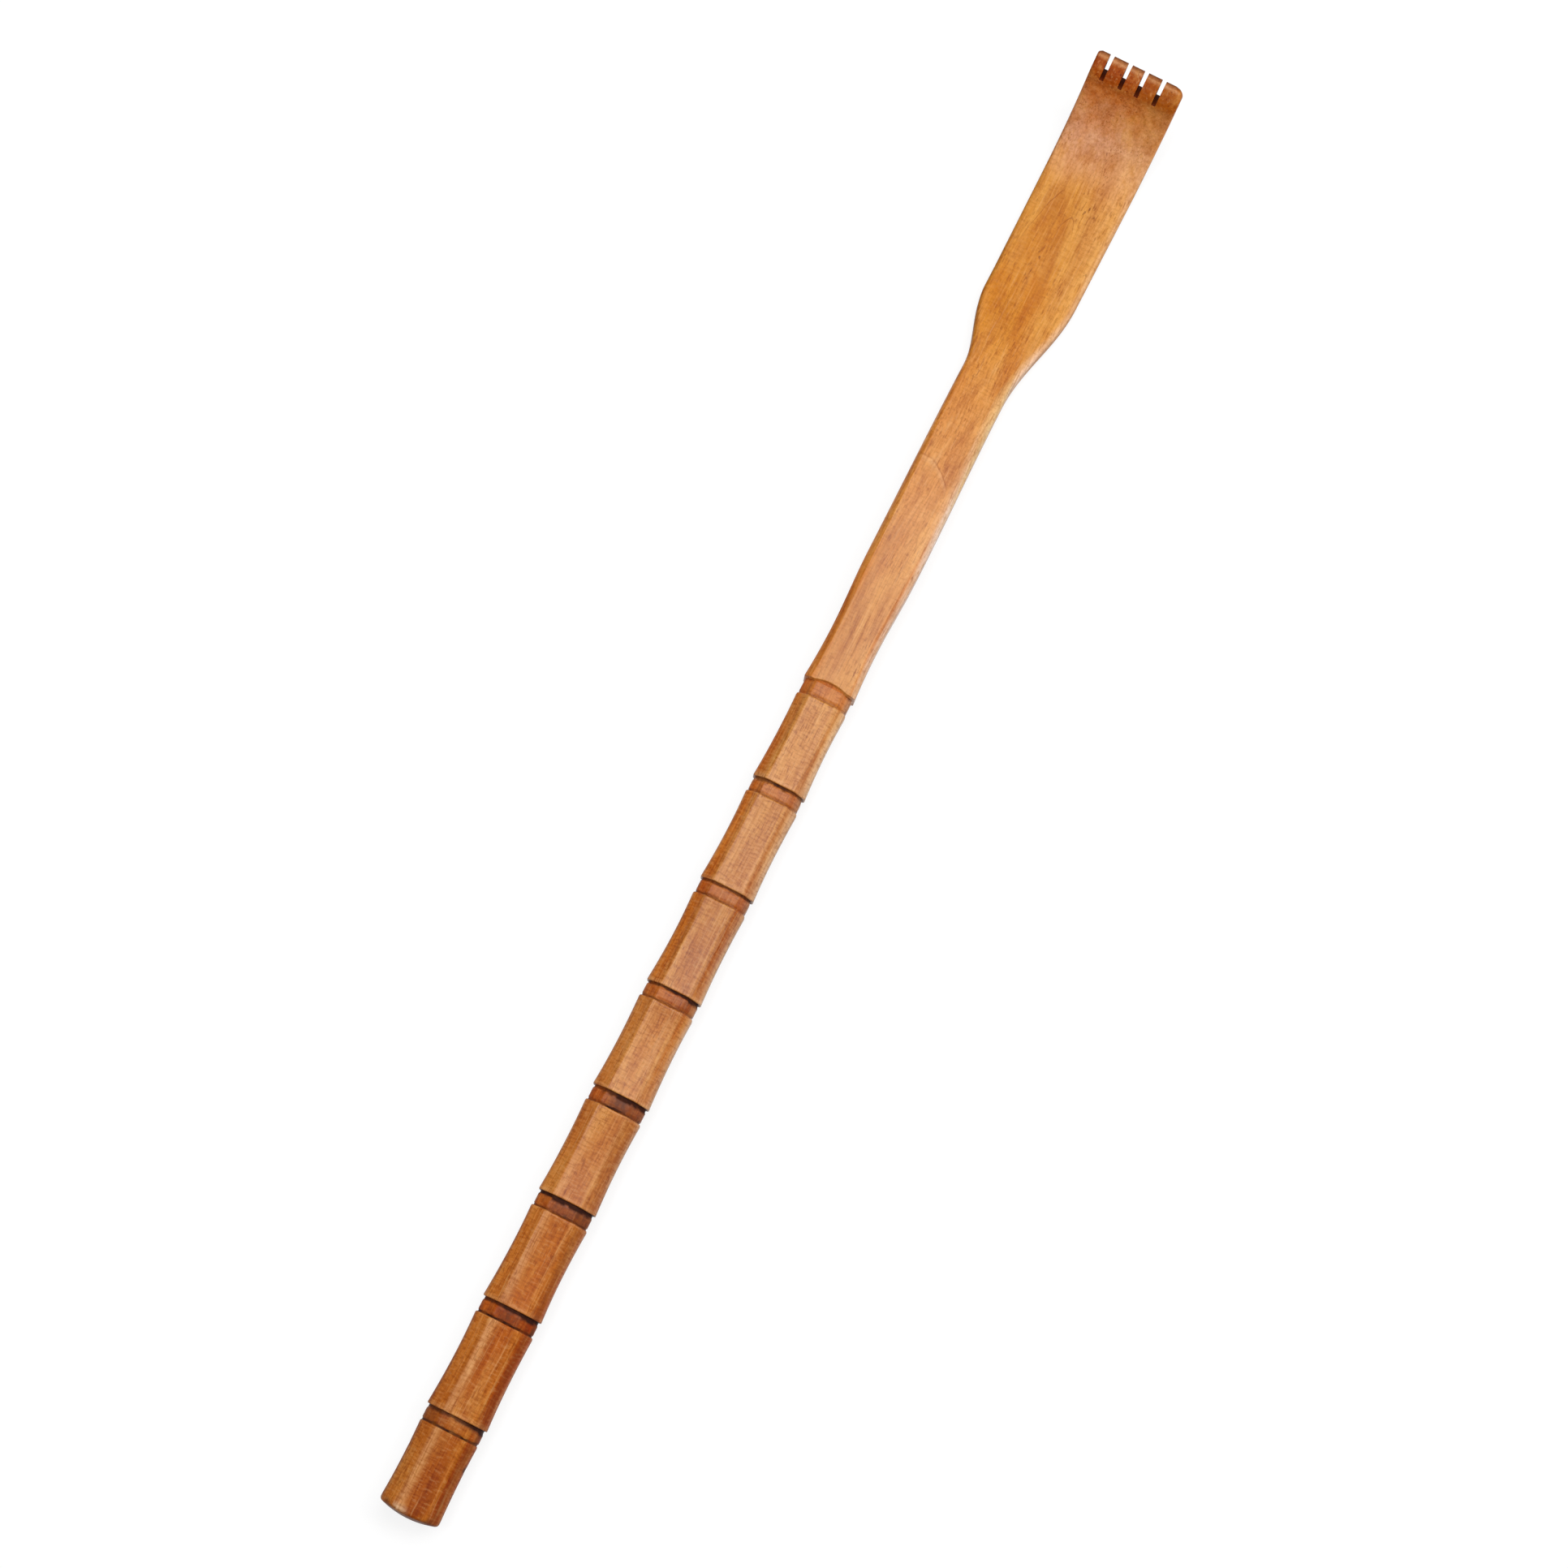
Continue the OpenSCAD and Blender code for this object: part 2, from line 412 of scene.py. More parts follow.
@dataclass(frozen=True)
class Grain:
    """What the wood's growth draws on a surface, each from 0, none, to 1, full."""

    streaks: Value
    pale_streaks: Value
    mottle: Value
    flecks: Value
    pores: Value
    dots: Value


@dataclass(frozen=True)
class Fibres:
    """Noises that draw the fibres of close-grained wood, each with the levels that cut it off.

    Attributes:
        lean: How far the fibres stray sideways in millimetres.
        straying: Noise of the straying.
        fibres: Noise of the fibres, which is cut into dark and pale streaks.
        threads: Noise of finer dark streaks.
        lumps: Noise of the mottling.
        pores: Noise of the open pores.
        dashes: Noise of short dark flecks.
        specks: Noise of round dots.
        fields: Noise of the patches that have flecks or dots.
    """

    lean: float = 2.5
    straying: Weave = Weave(0.05, 0.022, 1.0)
    fibres: Weave = Weave(1.25, 0.030, 3.0, 0.6)
    dark_fibres: Cut = Cut(0.48, 0.72, 0.7)
    pale_fibres: Cut = Cut(0.46, 0.28, 0.8)
    threads: Weave = Weave(1.8, 0.06)
    dark_threads: Cut = Cut(0.50, 0.68, 0.55)
    lumps: Weave = Weave(0.60, 0.20, 3.0, 0.6)
    mottled: Cut = Cut(0.44, 0.66)
    pores: Weave = Weave(1.5, 0.9, 2.0, 0.6)
    open_pores: Cut = Cut(0.48, 0.70)
    dashes: Weave = Weave(2.4, 0.34, 1.0, 0.4)
    flecked: Cut = Cut(0.58, 0.70)
    specks: Weave = Weave(1.2, 0.5, 0.0)
    dotted: Cut = Cut(0.72, 0.80)
    fields: Weave = Weave(0.25, 0.06)
    fleck_fields: Cut = Cut(0.36, 0.62)
    dot_fields: Cut = Cut(0.50, 0.62)

    def drawn(self, graph: Graph, mm: Value) -> Grain:
        """Draw the grain: noises that are stretched along the leaning fibres, cut off at a level.

        Args:
            graph: Graph of the material.
            mm: Place in millimetres.

        Returns:
            Streaks, mottling, flecks, pores and dots.
        """
        lean = (self.straying.drawn(graph, mm) - NOISE_MEAN) * self.lean
        shift = graph.node("ShaderNodeCombineXYZ", {}, {"X": lean})["Vector"]
        bent = graph.node("ShaderNodeVectorMath", {"operation": "ADD"}, {0: mm, 1: shift})[0]
        fibres = self.fibres.drawn(graph, bent)
        threads = self.threads.drawn(graph, bent)
        fields = self.fields.drawn(graph, mm)
        flecks = self.flecked.of(self.dashes.drawn(graph, bent))
        dots = self.dotted.of(self.specks.drawn(graph, mm))
        return Grain(
            streaks=self.dark_fibres.of(fibres) + self.dark_threads.of(threads),
            pale_streaks=self.pale_fibres.of(fibres),
            mottle=self.mottled.of(self.lumps.drawn(graph, bent)),
            flecks=flecks * self.fleck_fields.of(fields),
            pores=self.open_pores.of(self.pores.drawn(graph, mm)),
            dots=dots * self.dot_fields.of(fields),
        )


@dataclass(frozen=True)
class GrowthRings:
    """Growth rings round the middle of the tree.

    Lengths are in millimetres.

    Attributes:
        gap: Distance between rings.
        pith: X and Z of the middle of the tree.
        wander: Noise by which the rings wander along the stem.
        wander_reach: How far they wander along X and Z.
        darkening: Share of a ring over which its wood darkens.
        ending: Share of a ring over which the dark wood ends.
        fading: Noise by which the rings come and go, with the level where they show.
    """

    gap: float = 4.6
    pith: tuple[float, float] = (-38.0, -34.0)
    wander: Weave = Weave(0.045, 0.013)
    wander_reach: tuple[float, float] = (16.0, 6.0)
    darkening: Cut = Cut(0.30, 0.94)
    ending: Cut = Cut(1.0, 0.93)
    fading: Weave = Weave(0.10, 0.025)
    showing: Cut = Cut(0.30, 0.65)

    def drawn(self, graph: Graph, mm: Value) -> Value:
        """Draw the rings: a saw of the distance from the pith, which wanders along the stem.

        Args:
            graph: Graph of the material.
            mm: Place in millimetres.

        Returns:
            0 in the pale early wood to 1 in the thin dark late wood.
        """
        wander = self.wander.drawn(graph, mm)
        axes = graph.node("ShaderNodeSeparateXYZ", {}, {0: mm})
        across = axes["X"] - self.pith[0] + wander * self.wander_reach[0]
        under = axes["Z"] - self.pith[1] + wander * self.wander_reach[1]
        distance = (across * across + under * under) ** 0.5
        phase = (distance / self.gap).math("FRACT")
        shown = self.showing.of(self.fading.drawn(graph, mm))
        return self.darkening.of(phase) * self.ending.of(phase) * shown


@dataclass(frozen=True)
class GrowthArch:
    """An arch that the growth rings draw where the knife has cut through them.

    Lengths are in millimetres.

    Attributes:
        x: Place of its top across.
        y: Place of its top from the handle's end.
        bow: Fall of its legs per square millimetre across.
        reach: Distance across over which it shows.
        line: Depth of the thin dark line along it.
        heart: Depth of the amber tint under it.
        lip: Depth of the painted highlight on the thin band right under the line.
        waver: How far the line strays.
        low: Least height of the front face that shows it.
        right: How far to the right of its top the line still shows.
        reach_fade: Distance over which it fades at its reach.
        low_fade: Distance over which it fades at its least height.
        right_fade: Distance over which the line fades on the right.
    """

    x: float
    y: float
    bow: float
    reach: float
    line: float
    heart: float = 0.0
    lip: float = 0.0
    waver: float = 3.0
    low: float = 3.0
    right: float = 99.0
    reach_fade: float = 2.5
    low_fade: float = 1.5
    right_fade: float = 1.5
    heart_top: Cut = Cut(4.0, -6.0)
    heart_foot: Cut = Cut(-52.0, -30.0)
    line_inside: Cut = Cut(-0.45, -0.05)
    line_outside: Cut = Cut(0.75, 0.10)
    lip_inside: Cut = Cut(-2.6, -0.7)
    lip_outside: Cut = Cut(-0.1, -0.5)

    def drawn(self, axes: Node, end: float, waver: Value) -> tuple[Value, Value, Value]:
        """Draw the arch where the front face shows it.

        The height over an arch is the distance past its top plus its bow times the square of the
        distance across, and wavers a little.

        Args:
            axes: X, Y and Z of the place on the wood in millimetres.
            end: Y of the handle's end in millimetres.
            waver: Noise by which it strays.

        Returns:
            Depths of its amber heart, its pale lip and its dark line.
        """
        across = axes["X"] - self.x
        over = axes["Y"] - (end + self.y) + across * across * self.bow
        over = over + (waver - NOISE_MEAN) * self.waver
        near = across.math("ABSOLUTE").step(self.reach, self.reach - self.reach_fade)
        near = near * axes["Z"].step(self.low, self.low + self.low_fade)
        shown = near * across.step(self.right, self.right - self.right_fade)
        heart = self.heart_top.of(over) * self.heart_foot.of(over)
        lip = self.lip_inside.of(over) * self.lip_outside.of(over) * near
        line = self.line_inside.of(over) * self.line_outside.of(over) * shown
        return heart * self.heart, lip * self.lip, line * self.line


@dataclass(frozen=True)
class Lacquer:
    """Clear gloss lacquer, which is thin, dull or worn off in places.

    Attributes:
        gloss: Weight of the lacquer.
        polish: Noise of its evenness, with its least share and what the noise adds.
        grip: Share of the gloss that is left at the handle's end.
        past_grip: Where the rest comes back along the stick.
        dull_paddle: Where it dulls towards the paddle.
        bright_hook: Where it shines again on the hook.
        dull_claws: Where it dulls again on the claws.
        dull_bevel: How much of it the bevels lose where tone and shading is painted on them.
        dry: How much of it the dark lines, with their burn and painted shade, and the sawn slots lose.
        groove_loss: Share of it that grooves lose.
        roughness: Roughness of its surface.
        ior: Its index of refraction.
    """

    gloss: float = 0.50
    polish: Weave = Weave(0.22, 0.05)
    polish_share: tuple[float, float] = (0.75, 0.5)
    grip: float = 0.08
    past_grip: Cut = Cut(0.03, 0.30, 0.92)
    dull_paddle: Cut = Cut(0.74, 0.84, 0.85)
    bright_hook: Cut = Cut(0.942, 0.962, 0.60)
    dull_claws: Cut = Cut(0.968, 0.985, 0.60)
    dull_bevel: Cut = Cut(0.0, 0.6, 0.8)
    dry: Cut = Cut(0.0, 0.7)
    groove_loss: float = 0.35
    roughness: float = 0.24
    ior: float = 1.5

    def weight(self, graph: Graph, mm: Value, along: Value) -> Value:
        """How much lacquer lies on the wood.

        Args:
            graph: Graph of the material.
            mm: Place in millimetres.
            along: Share of the stick's length from the handle's end.

        Returns:
            The weight of the coat.
        """
        least, gain = self.polish_share
        gloss = self.gloss * (least + self.polish.drawn(graph, mm) * gain)
        gloss = gloss * (self.grip + self.past_grip.of(along))
        dull = self.dull_paddle.of(along) - self.bright_hook.of(along) + self.dull_claws.of(along)
        bevel = self.dull_bevel.of(graph.painted(Stain.TONE_AND_SHADING).math("ABSOLUTE"))
        burnt_and_shaded = graph.painted(Stain.LINE).math("MAXIMUM", graph.painted(Stain.SLOT))
        worn = (1 - dull) * (1 - bevel) * (1 - self.dry.of(burnt_and_shaded))
        return gloss * worn * (1 - graph.painted(Stain.GROOVE) * self.groove_loss)


@dataclass(frozen=True)
class LacqueredWood:
    """Close-grained wood under clear gloss lacquer, with its grain along Y.

    A pair of numbers for a depth holds the depth on the stick and what the paddle adds to it. A pair
    for a patchy stain holds its least share and what a noise adds to it.

    Attributes:
        name: Name of the material.
        tones: Colours along the stick, each with its place from the handle's end in millimetres.
        stick_end: Y of the handle's end in millimetres.
        stick_length: Length of the stick in millimetres.
        figure: Depth of the growth rings' colour.
        right_light: How much the right side pales, a painted light from the right in a sapwood colour.
        chatter: Depth of the fine marks that the plane left across the grain.
        arches: Growth arches on its front.
        wear_and_sheen: Colour of the edges that are worn pale, and of the painted sheen and highlights on
            edges.
        rim: Colour of the painted highlight on the outer edges.
        amber: Tint of the dark clouds.
        golden: Colour of the pale clouds.
        honey: Golden tint of the lighter facets near the handle's end: golden lacquer and painted light.
        syrup: The same golden tint farther on.
        deep: Tint of the darker facets, edges and joint, mostly painted shade.
        heartwood: Tint under an arch.
        late_wood: Tint of the rings' dark wood and of an arch's line.
        dark_fibre: Tint of dark streaks, pores and plane marks.
        planed: Colour of the pale plane marks.
        soot_shade: Colour of soot, and of the painted shade in grooves, on the dome and along edges.
        claw_shade: Painted shade on the claws' upper ends, which turn away from the light.
        tip_face_light: Colour of the claws' cut ends, paler as painted light on faces that catch it.
    """

    name: str
    tones: tuple[tuple[float, Colour], ...]
    stick_end: float
    stick_length: float
    figure: float = 0.34
    right_light: float = 0.0
    chatter: float = 0.0
    arches: tuple[GrowthArch, ...] = ()
    fibres: Fibres = Fibres()
    rings: GrowthRings = GrowthRings()
    lacquer: Lacquer = Lacquer()

    wear_and_sheen: Colour = (0.80, 0.42, 0.17)
    rim: Colour = (0.82, 0.62, 0.44)
    amber: Colour = (0.74, 0.55, 0.34)
    golden: Colour = (0.80, 0.40, 0.10)
    honey: Colour = (0.80, 0.26, 0.04)
    syrup: Colour = (0.85, 0.22, 0.005)
    deep: Colour = (0.94, 0.55, 0.12)
    heartwood: Colour = (0.90, 0.78, 0.50)
    late_wood: Colour = (0.66, 0.48, 0.32)
    dark_fibre: Colour = (0.62, 0.43, 0.23)
    pale_fibre: Colour = (0.84, 0.50, 0.20)
    planed: Colour = (0.86, 0.56, 0.24)
    mottled: Colour = (0.86, 0.72, 0.40)
    fleck: Colour = (0.62, 0.44, 0.26)
    dot: Colour = (0.36, 0.22, 0.14)
    groove_tint: Colour = (0.86, 0.58, 0.38)
    soot_shade: Colour = (0.140, 0.036, 0.011)
    # Colour of the burn lines, also used for painted shade under the lips and in the hanging hole.
    burnt_and_shaded: Colour = (0.030, 0.005, 0.001)
    # Colour of the slots' floors and walls: saw burn and painted shade in the narrow slots.
    sawn: Colour = (0.095, 0.010, 0.001)
    right_light_colour: Colour = (0.78, 0.40, 0.13)
    claw_shade: Colour = (0.605, 0.405, 0.08)
    tip_face_light: Colour = (0.53, 0.21, 0.08)

    drift: Weave = Weave(0.16, 0.035, 3.0, 0.55)
    tone_drift: float = 0.03
    right_light_side: Cut = Cut(-2.0, 11.0)
    claw_shade_height: Cut = Cut(21.0, 25.5)
    clouds: Weave = Weave(0.20, 0.040, 4.0, 0.6)
    amber_clouds: Cut = Cut(0.46, 0.70, 0.60)
    golden_clouds: Cut = Cut(0.50, 0.30, 0.30)
    paddle: Cut = Cut(0.80, 0.86)
    mottle_depth: tuple[float, float] = (0.40, 0.20)
    streak_depth: tuple[float, float] = (0.65, -0.22)
    dot_depth: tuple[float, float] = (0.30, 0.35)
    pore_depth: float = 0.32
    pale_streak_depth: float = 0.30
    fleck_depth: float = 0.70
    plane: Weave = Weave(0.45, 1.5, 1.0)
    dark_marks: Cut = Cut(0.52, 0.68)
    pale_marks: Cut = Cut(0.46, 0.30, 0.22)

    from_syrup: Cut = Cut(0.342, 0.356)
    patchy: tuple[float, float] = (0.55, 0.9)
    tip_depth: float = 0.7
    arch_waver: Weave = Weave(0.45, 0.12)
    soot_noise: Weave = Weave(0.60, 0.30, 3.0, 0.6)
    groove_smoke: Cut = Cut(0.48, 0.68, 0.32)
    char_noise: Weave = Weave(0.9, 0.9)
    charred: tuple[float, float] = (0.70, 0.55)

    streak_relief: float = 0.25
    fleck_relief: float = 0.4
    relief_strength: float = 0.10
    relief_height: float = 0.0002
    roughness: float = 0.48
    streak_roughness: float = 0.10
    groove_roughness: float = 0.10
    specular: float = 0.10

    def material(self) -> bpy.types.Material:
        """Build the finish.

        Returns:
            The material.
        """
        material, graph = new_material(self.name)
        place = graph.node("ShaderNodeTexCoord", {}, {})["Object"]
        mm = graph.scaled(place, (1 / MM, 1 / MM, 1 / MM))
        grain = self.fibres.drawn(graph, mm)
        axes = graph.node("ShaderNodeSeparateXYZ", {}, {0: mm})
        along = (axes["Y"] - self.stick_end) / self.stick_length
        groove = graph.painted(Stain.GROOVE)
        colour = self.stained(graph, mm, self.colour(graph, mm, axes, along, grain), groove)
        relief = (grain.pale_streaks - grain.streaks) * self.streak_relief
        relief = relief - grain.flecks * self.fleck_relief - grain.dots
        given = {"Height": relief, "Strength": self.relief_strength, "Distance": self.relief_height}
        bump = graph.node("ShaderNodeBump", {}, given)
        rough = self.roughness + grain.streaks * self.streak_roughness + groove * self.groove_roughness
        given = {
            "Base Color": colour,
            "Roughness": rough,
            "Coat Weight": self.lacquer.weight(graph, mm, along),
            "Normal": bump["Normal"],
            "Specular IOR Level": self.specular,
            "Coat Roughness": self.lacquer.roughness,
            "Coat IOR": self.lacquer.ior,
        }
        shader = graph.node("ShaderNodeBsdfPrincipled", {}, given)
        graph.node("ShaderNodeOutputMaterial", {}, {"Surface": shader["BSDF"]})
        return material

    def colour(self, graph: Graph, mm: Value, axes: Node, along: Value, grain: Grain) -> Value:
        """Colour of the bare facets: tones along the stick with wear, painted light, shade and
        highlights, arches and figure.

        Args:
            graph: Graph of the material.
            mm: Place in millimetres.
            axes: X, Y and Z of that place.
            along: Share of the stick's length from the handle's end.
            grain: The wood's grain.

        Returns:
            The colour.
        """
        drift = self.drift.drawn(graph, mm)
        stops = [(y / self.stick_length, tone) for y, tone in self.tones]
        place = along + (drift - NOISE_MEAN) * self.tone_drift
        tone = graph.node("ShaderNodeValToRGB", {"stops": stops}, {0: place})[0]
        # Painted light: the right side pales as if lit from the right.
        pale = self.right_light_side.of(axes["X"]) * (NOISE_MEAN + drift)
        tone = graph.blend(tone, self.right_light_colour, pale * self.right_light)
        # Painted shade: the claws darken with height as they turn away from the light.
        tone = graph.blend(tone, self.claw_shade, self.claw_shade_height.of(axes["Z"]), "MULTIPLY")
        tone = self.worn(graph, tone, along, drift)
        tone = self.arched(graph, mm, axes, tone)
        return self.figured(graph, mm, tone, self.paddle.of(along), grain)

    def figured(self, graph: Graph, mm: Value, tone: Value, paddle: Value, grain: Grain) -> Value:
        """Colour with the wood's figure: clouds, mottling, rings, streaks, pores, plane marks and flecks.

        Args:
            graph: Graph of the material.
            mm: Place in millimetres.
            tone: Colour of the plain wood.
            paddle: 1 on the paddle, 0 on the stick.
            grain: The wood's grain.

        Returns:
            The figured colour.
        """
        clouds = self.clouds.drawn(graph, mm)
        plane = self.plane.drawn(graph, mm)
        mottle, streak, dot = (stick + paddle * added for stick, added in
                               (self.mottle_depth, self.streak_depth, self.dot_depth))
        layers = (
            (self.amber, self.amber_clouds.of(clouds), "MULTIPLY"),
            (self.golden, self.golden_clouds.of(clouds), "MIX"),
            (self.mottled, grain.mottle * mottle, "MULTIPLY"),
            (self.late_wood, self.rings.drawn(graph, mm) * self.figure, "MULTIPLY"),
            (self.dark_fibre, grain.streaks * streak, "MULTIPLY"),
            (self.dark_fibre, grain.pores * self.pore_depth, "MULTIPLY"),
            (self.dark_fibre, self.dark_marks.of(plane) * self.chatter, "MULTIPLY"),
            (self.planed, self.pale_marks.of(plane) * self.chatter, "MIX"),
            (self.pale_fibre, grain.pale_streaks * self.pale_streak_depth, "MIX"),
            (self.fleck, grain.flecks * self.fleck_depth, "MULTIPLY"),
            (self.dot, grain.dots * dot, "MULTIPLY"),
        )
        for colour, depth, how in layers:
            tone = graph.blend(tone, colour, depth, how)
        return tone

    def worn(self, graph: Graph, tone: Value, along: Value, drift: Value) -> Value:
        """Colour with the painted marks: pale wear with painted sheen, golden and dark tones with painted
        shading, painted highlights and the claws' lit ends.

        Args:
            graph: Graph of the material.
            tone: Colour of the plain wood.
            along: Share of the stick's length from the handle's end.
            drift: Soft noise along the wood.

        Returns:
            The colour with the painted wear.
        """
        # Tone and painted shading of the facets: golden above 0, darker below.
        tone_and_shading = graph.painted(Stain.TONE_AND_SHADING)
        gold = graph.blend(self.honey, self.syrup, self.from_syrup.of(along))
        tone = graph.blend(tone, gold, tone_and_shading.math("MAXIMUM", 0.0))
        tone = graph.blend(tone, self.deep, (tone_and_shading * -1.0).math("MAXIMUM", 0.0), "MULTIPLY")
        least, gain = self.patchy
        # Pale wear and painted sheen.
        tone = graph.blend(tone, self.wear_and_sheen, graph.painted(Stain.WEAR_AND_SHEEN) * (least + drift * gain))
        # Painted highlight on the outer edges.
        tone = graph.blend(tone, self.rim, graph.painted(Stain.RIM_HIGHLIGHT))
        # The claws' cut ends are painted lighter, as lit faces.
        return graph.blend(tone, self.tip_face_light, graph.painted(Stain.TIP) * self.tip_depth)

    def arched(self, graph: Graph, mm: Value, axes: Node, tone: Value) -> Value:
        """Colour with the arches: amber and a painted highlight on the lip under each, and a thin dark
        line along it.

        Args:
            graph: Graph of the material.
            mm: Place in millimetres.
            axes: X, Y and Z of that place.
            tone: Colour of the wood.

        Returns:
            The colour with the arches.
        """
        waver = self.arch_waver.drawn(graph, mm)
        for arch in self.arches:
            heart, lip, line = arch.drawn(axes, self.stick_end, waver)
            tone = graph.blend(tone, self.heartwood, heart, "MULTIPLY")
            # The lip under an arch is a painted highlight.
            tone = graph.blend(tone, self.wear_and_sheen, lip)
            tone = graph.blend(tone, self.late_wood, line, "MULTIPLY")
        return tone

    def stained(self, graph: Graph, mm: Value, colour: Value, groove: Value) -> Value:
        """Colour in the carved grooves and slots: red stain, soot with painted shade, dark slots with
        painted shade, and burn lines with painted shadow.

        Args:
            graph: Graph of the material.
            mm: Place in millimetres.
            colour: Colour of the bare wood.
            groove: 1 on the floor of a groove.

        Returns:
            The stained colour.
        """
        soot_shade = self.soot_noise.drawn(graph, mm)
        char = self.char_noise.drawn(graph, mm)
        colour = graph.blend(colour, self.groove_tint, groove, "MULTIPLY")
        least, gain = self.patchy
        # Soot, and painted shade in the grooves, on the dome and along edges.
        soot = graph.painted(Stain.SOOT_AND_SHADE) * (least + soot_shade * gain) + groove * self.groove_smoke.of(soot_shade)
        colour = graph.blend(colour, self.soot_shade, soot)
        # Near black slots: saw burn and painted shade.
        colour = graph.blend(colour, self.sawn, graph.painted(Stain.SLOT))
        least, gain = self.charred
        # Burn lines, with painted shadow under the lips and painted shade in the hole.
        return graph.blend(colour, self.burnt_and_shaded, graph.painted(Stain.LINE) * (least + char * gain))


@dataclass(frozen=True)
class RawBeech:
    """Unfinished beech of the hidden dowel: pale, with fine fibres along Y, which are per metre."""

    name: str = "raw_beech"
    pale: Colour = (0.60, 0.36, 0.19)
    dark: Colour = (0.42, 0.22, 0.10)
    fibres: Weave = Weave(2200.0, 90.0, 3.0, 0.6)
    darkening: Cut = Cut(0.4, 0.7)
    roughness: tuple[float, float] = (0.62, 0.15)

    def material(self) -> bpy.types.Material:
        """Build the finish.

        Returns:
            The material.
        """
        material, graph = new_material(self.name)
        place = graph.node("ShaderNodeTexCoord", {}, {})["Object"]
        fibres = self.fibres.drawn(graph, place)
        colour = graph.blend(self.pale, self.dark, self.darkening.of(fibres))
        given = {"Base Color": colour, "Roughness": self.roughness[0] + fibres * self.roughness[1]}
        shader = graph.node("ShaderNodeBsdfPrincipled", {}, given)
        graph.node("ShaderNodeOutputMaterial", {}, {"Surface": shader["BSDF"]})
        return material


@dataclass(frozen=True)
class PaleFloor:
    """Matt near-white floor that lifts a little towards white where the camera looks at it."""

    name: str = "pale_floor"
    shade: Colour = (0.24, 0.24, 0.24)
    lift: float = 0.80

    def material(self) -> bpy.types.Material:
        """Build the finish.

        Returns:
            The material.
        """
        material, graph = new_material(self.name)
        ray = graph.node("ShaderNodeLightPath", {}, {})
        seen = ray["Is Camera Ray"] + ray["Is Glossy Ray"] + ray["Is Transmission Ray"]
        matt = graph.node("ShaderNodeBsdfDiffuse", {}, {"Color": (*self.shade, 1.0)})
        glow = graph.node("ShaderNodeEmission", {}, {"Strength": seen * self.lift})
        both = graph.node("ShaderNodeAddShader", {}, {0: matt["BSDF"], 1: glow["Emission"]})
        graph.node("ShaderNodeOutputMaterial", {}, {"Surface": both["Shader"]})
        return material


# Painted wear, with lengths in millimetres

class Side(Enum):
    """Sides of a piece, as the sign of X there."""

    LEFT = -1
    RIGHT = 1


@dataclass(frozen=True)
class Levels:
    """A value that goes straight from one level to the next.

    Attributes:
        places: Places along the piece, in rising order.
        values: Value at each place. The first and the last hold beyond the ends.
    """

    places: tuple[float, ...]
    values: tuple[float, ...]

    @classmethod
    def flat(cls, value: float) -> "Levels":
        """The same value everywhere."""
        return cls((0.0,), (value,))

    def at(self, along: Array) -> Array:
        """The value at each place."""
        return np.interp(along, self.places, self.values)


@dataclass(frozen=True)
class Fade:
    """A rise along half a cosine wave, from nothing to a level.

    Attributes:
        none: Where it is 0.
        full: Where it reaches the level, above or below that.
        level: Its level.
    """

    none: float
    full: float
    level: float = 1.0

    def at(self, q: Array) -> Array:
        """Its height at each distance."""
        return ease((q - self.none) / (self.full - self.none)) * self.level


@dataclass(frozen=True)
class Band:
    """A level between two limits.

    Attributes:
        low: Lower limit.
        high: Upper limit.
        soft: Half the length over which it rises at the limits.
        level: Its level.
    """

    low: float
    high: float
    soft: float
    level: float = 1.0

    def at(self, q: Array) -> Array:
        """Its height at each distance."""
        return plateau(q, self.low, self.high, self.soft) * self.level


@dataclass(frozen=True)
class Ridge:
    """A line along the piece that fades to both sides like a bell curve.

    Attributes:
        x: Its place across.
        width: Its width.
        level: Its depth.
    """

    x: Levels
    width: float
    level: Levels

    def at(self, x: Array, along: Array) -> Array:
        """Its depth at each place."""
        return bell(x - self.x.at(along), self.width) * self.level.at(along)


@dataclass(frozen=True)
class Flank:
    """One flank of the piece, from a distance off the middle outwards.

    Attributes:
        start: Distance from the middle where it begins.
        soft: Distance over which it rises.
        level: Its depth.
        side: Its side.
    """

    start: Levels
    soft: Levels
    level: Levels
    side: Side = Side.RIGHT

    def at(self, x: Array, along: Array) -> Array:
        """Its depth at each place."""
        past = self.side.value * x - self.start.at(along)
        return ease(past / self.soft.at(along)) * self.level.at(along)


@dataclass(frozen=True)
class RimHighlight:
    """Painted highlight on the outer edges: a wide band on the right and a narrow, fainter one on the
    left.

    Attributes:
        level: Brightness of the highlight on the right edge.
        width: Width of the right band.
        left: Brightness of the left edge's highlight as a share of the right one's, by the distance in
            from it.
    """

    level: Levels
    width: Levels
    left: Fade = Fade(0.8, 0.0, 0.25)

    def at(self, x: Array, along: Array, left: Array, right: Array) -> Array:
        """How bright the painted highlight on the edges is.

        Args:
            x: Places across.
            along: Places along the piece.
            left: Half widths on the left.
            right: Half widths on the right.

        Returns:
            The highlight, from 0 to 1.
        """
        wide = 1 - ease((right - x) / self.width.at(along))
        return self.level.at(along) * np.where(x > 0, wide, self.left.at(left + x))


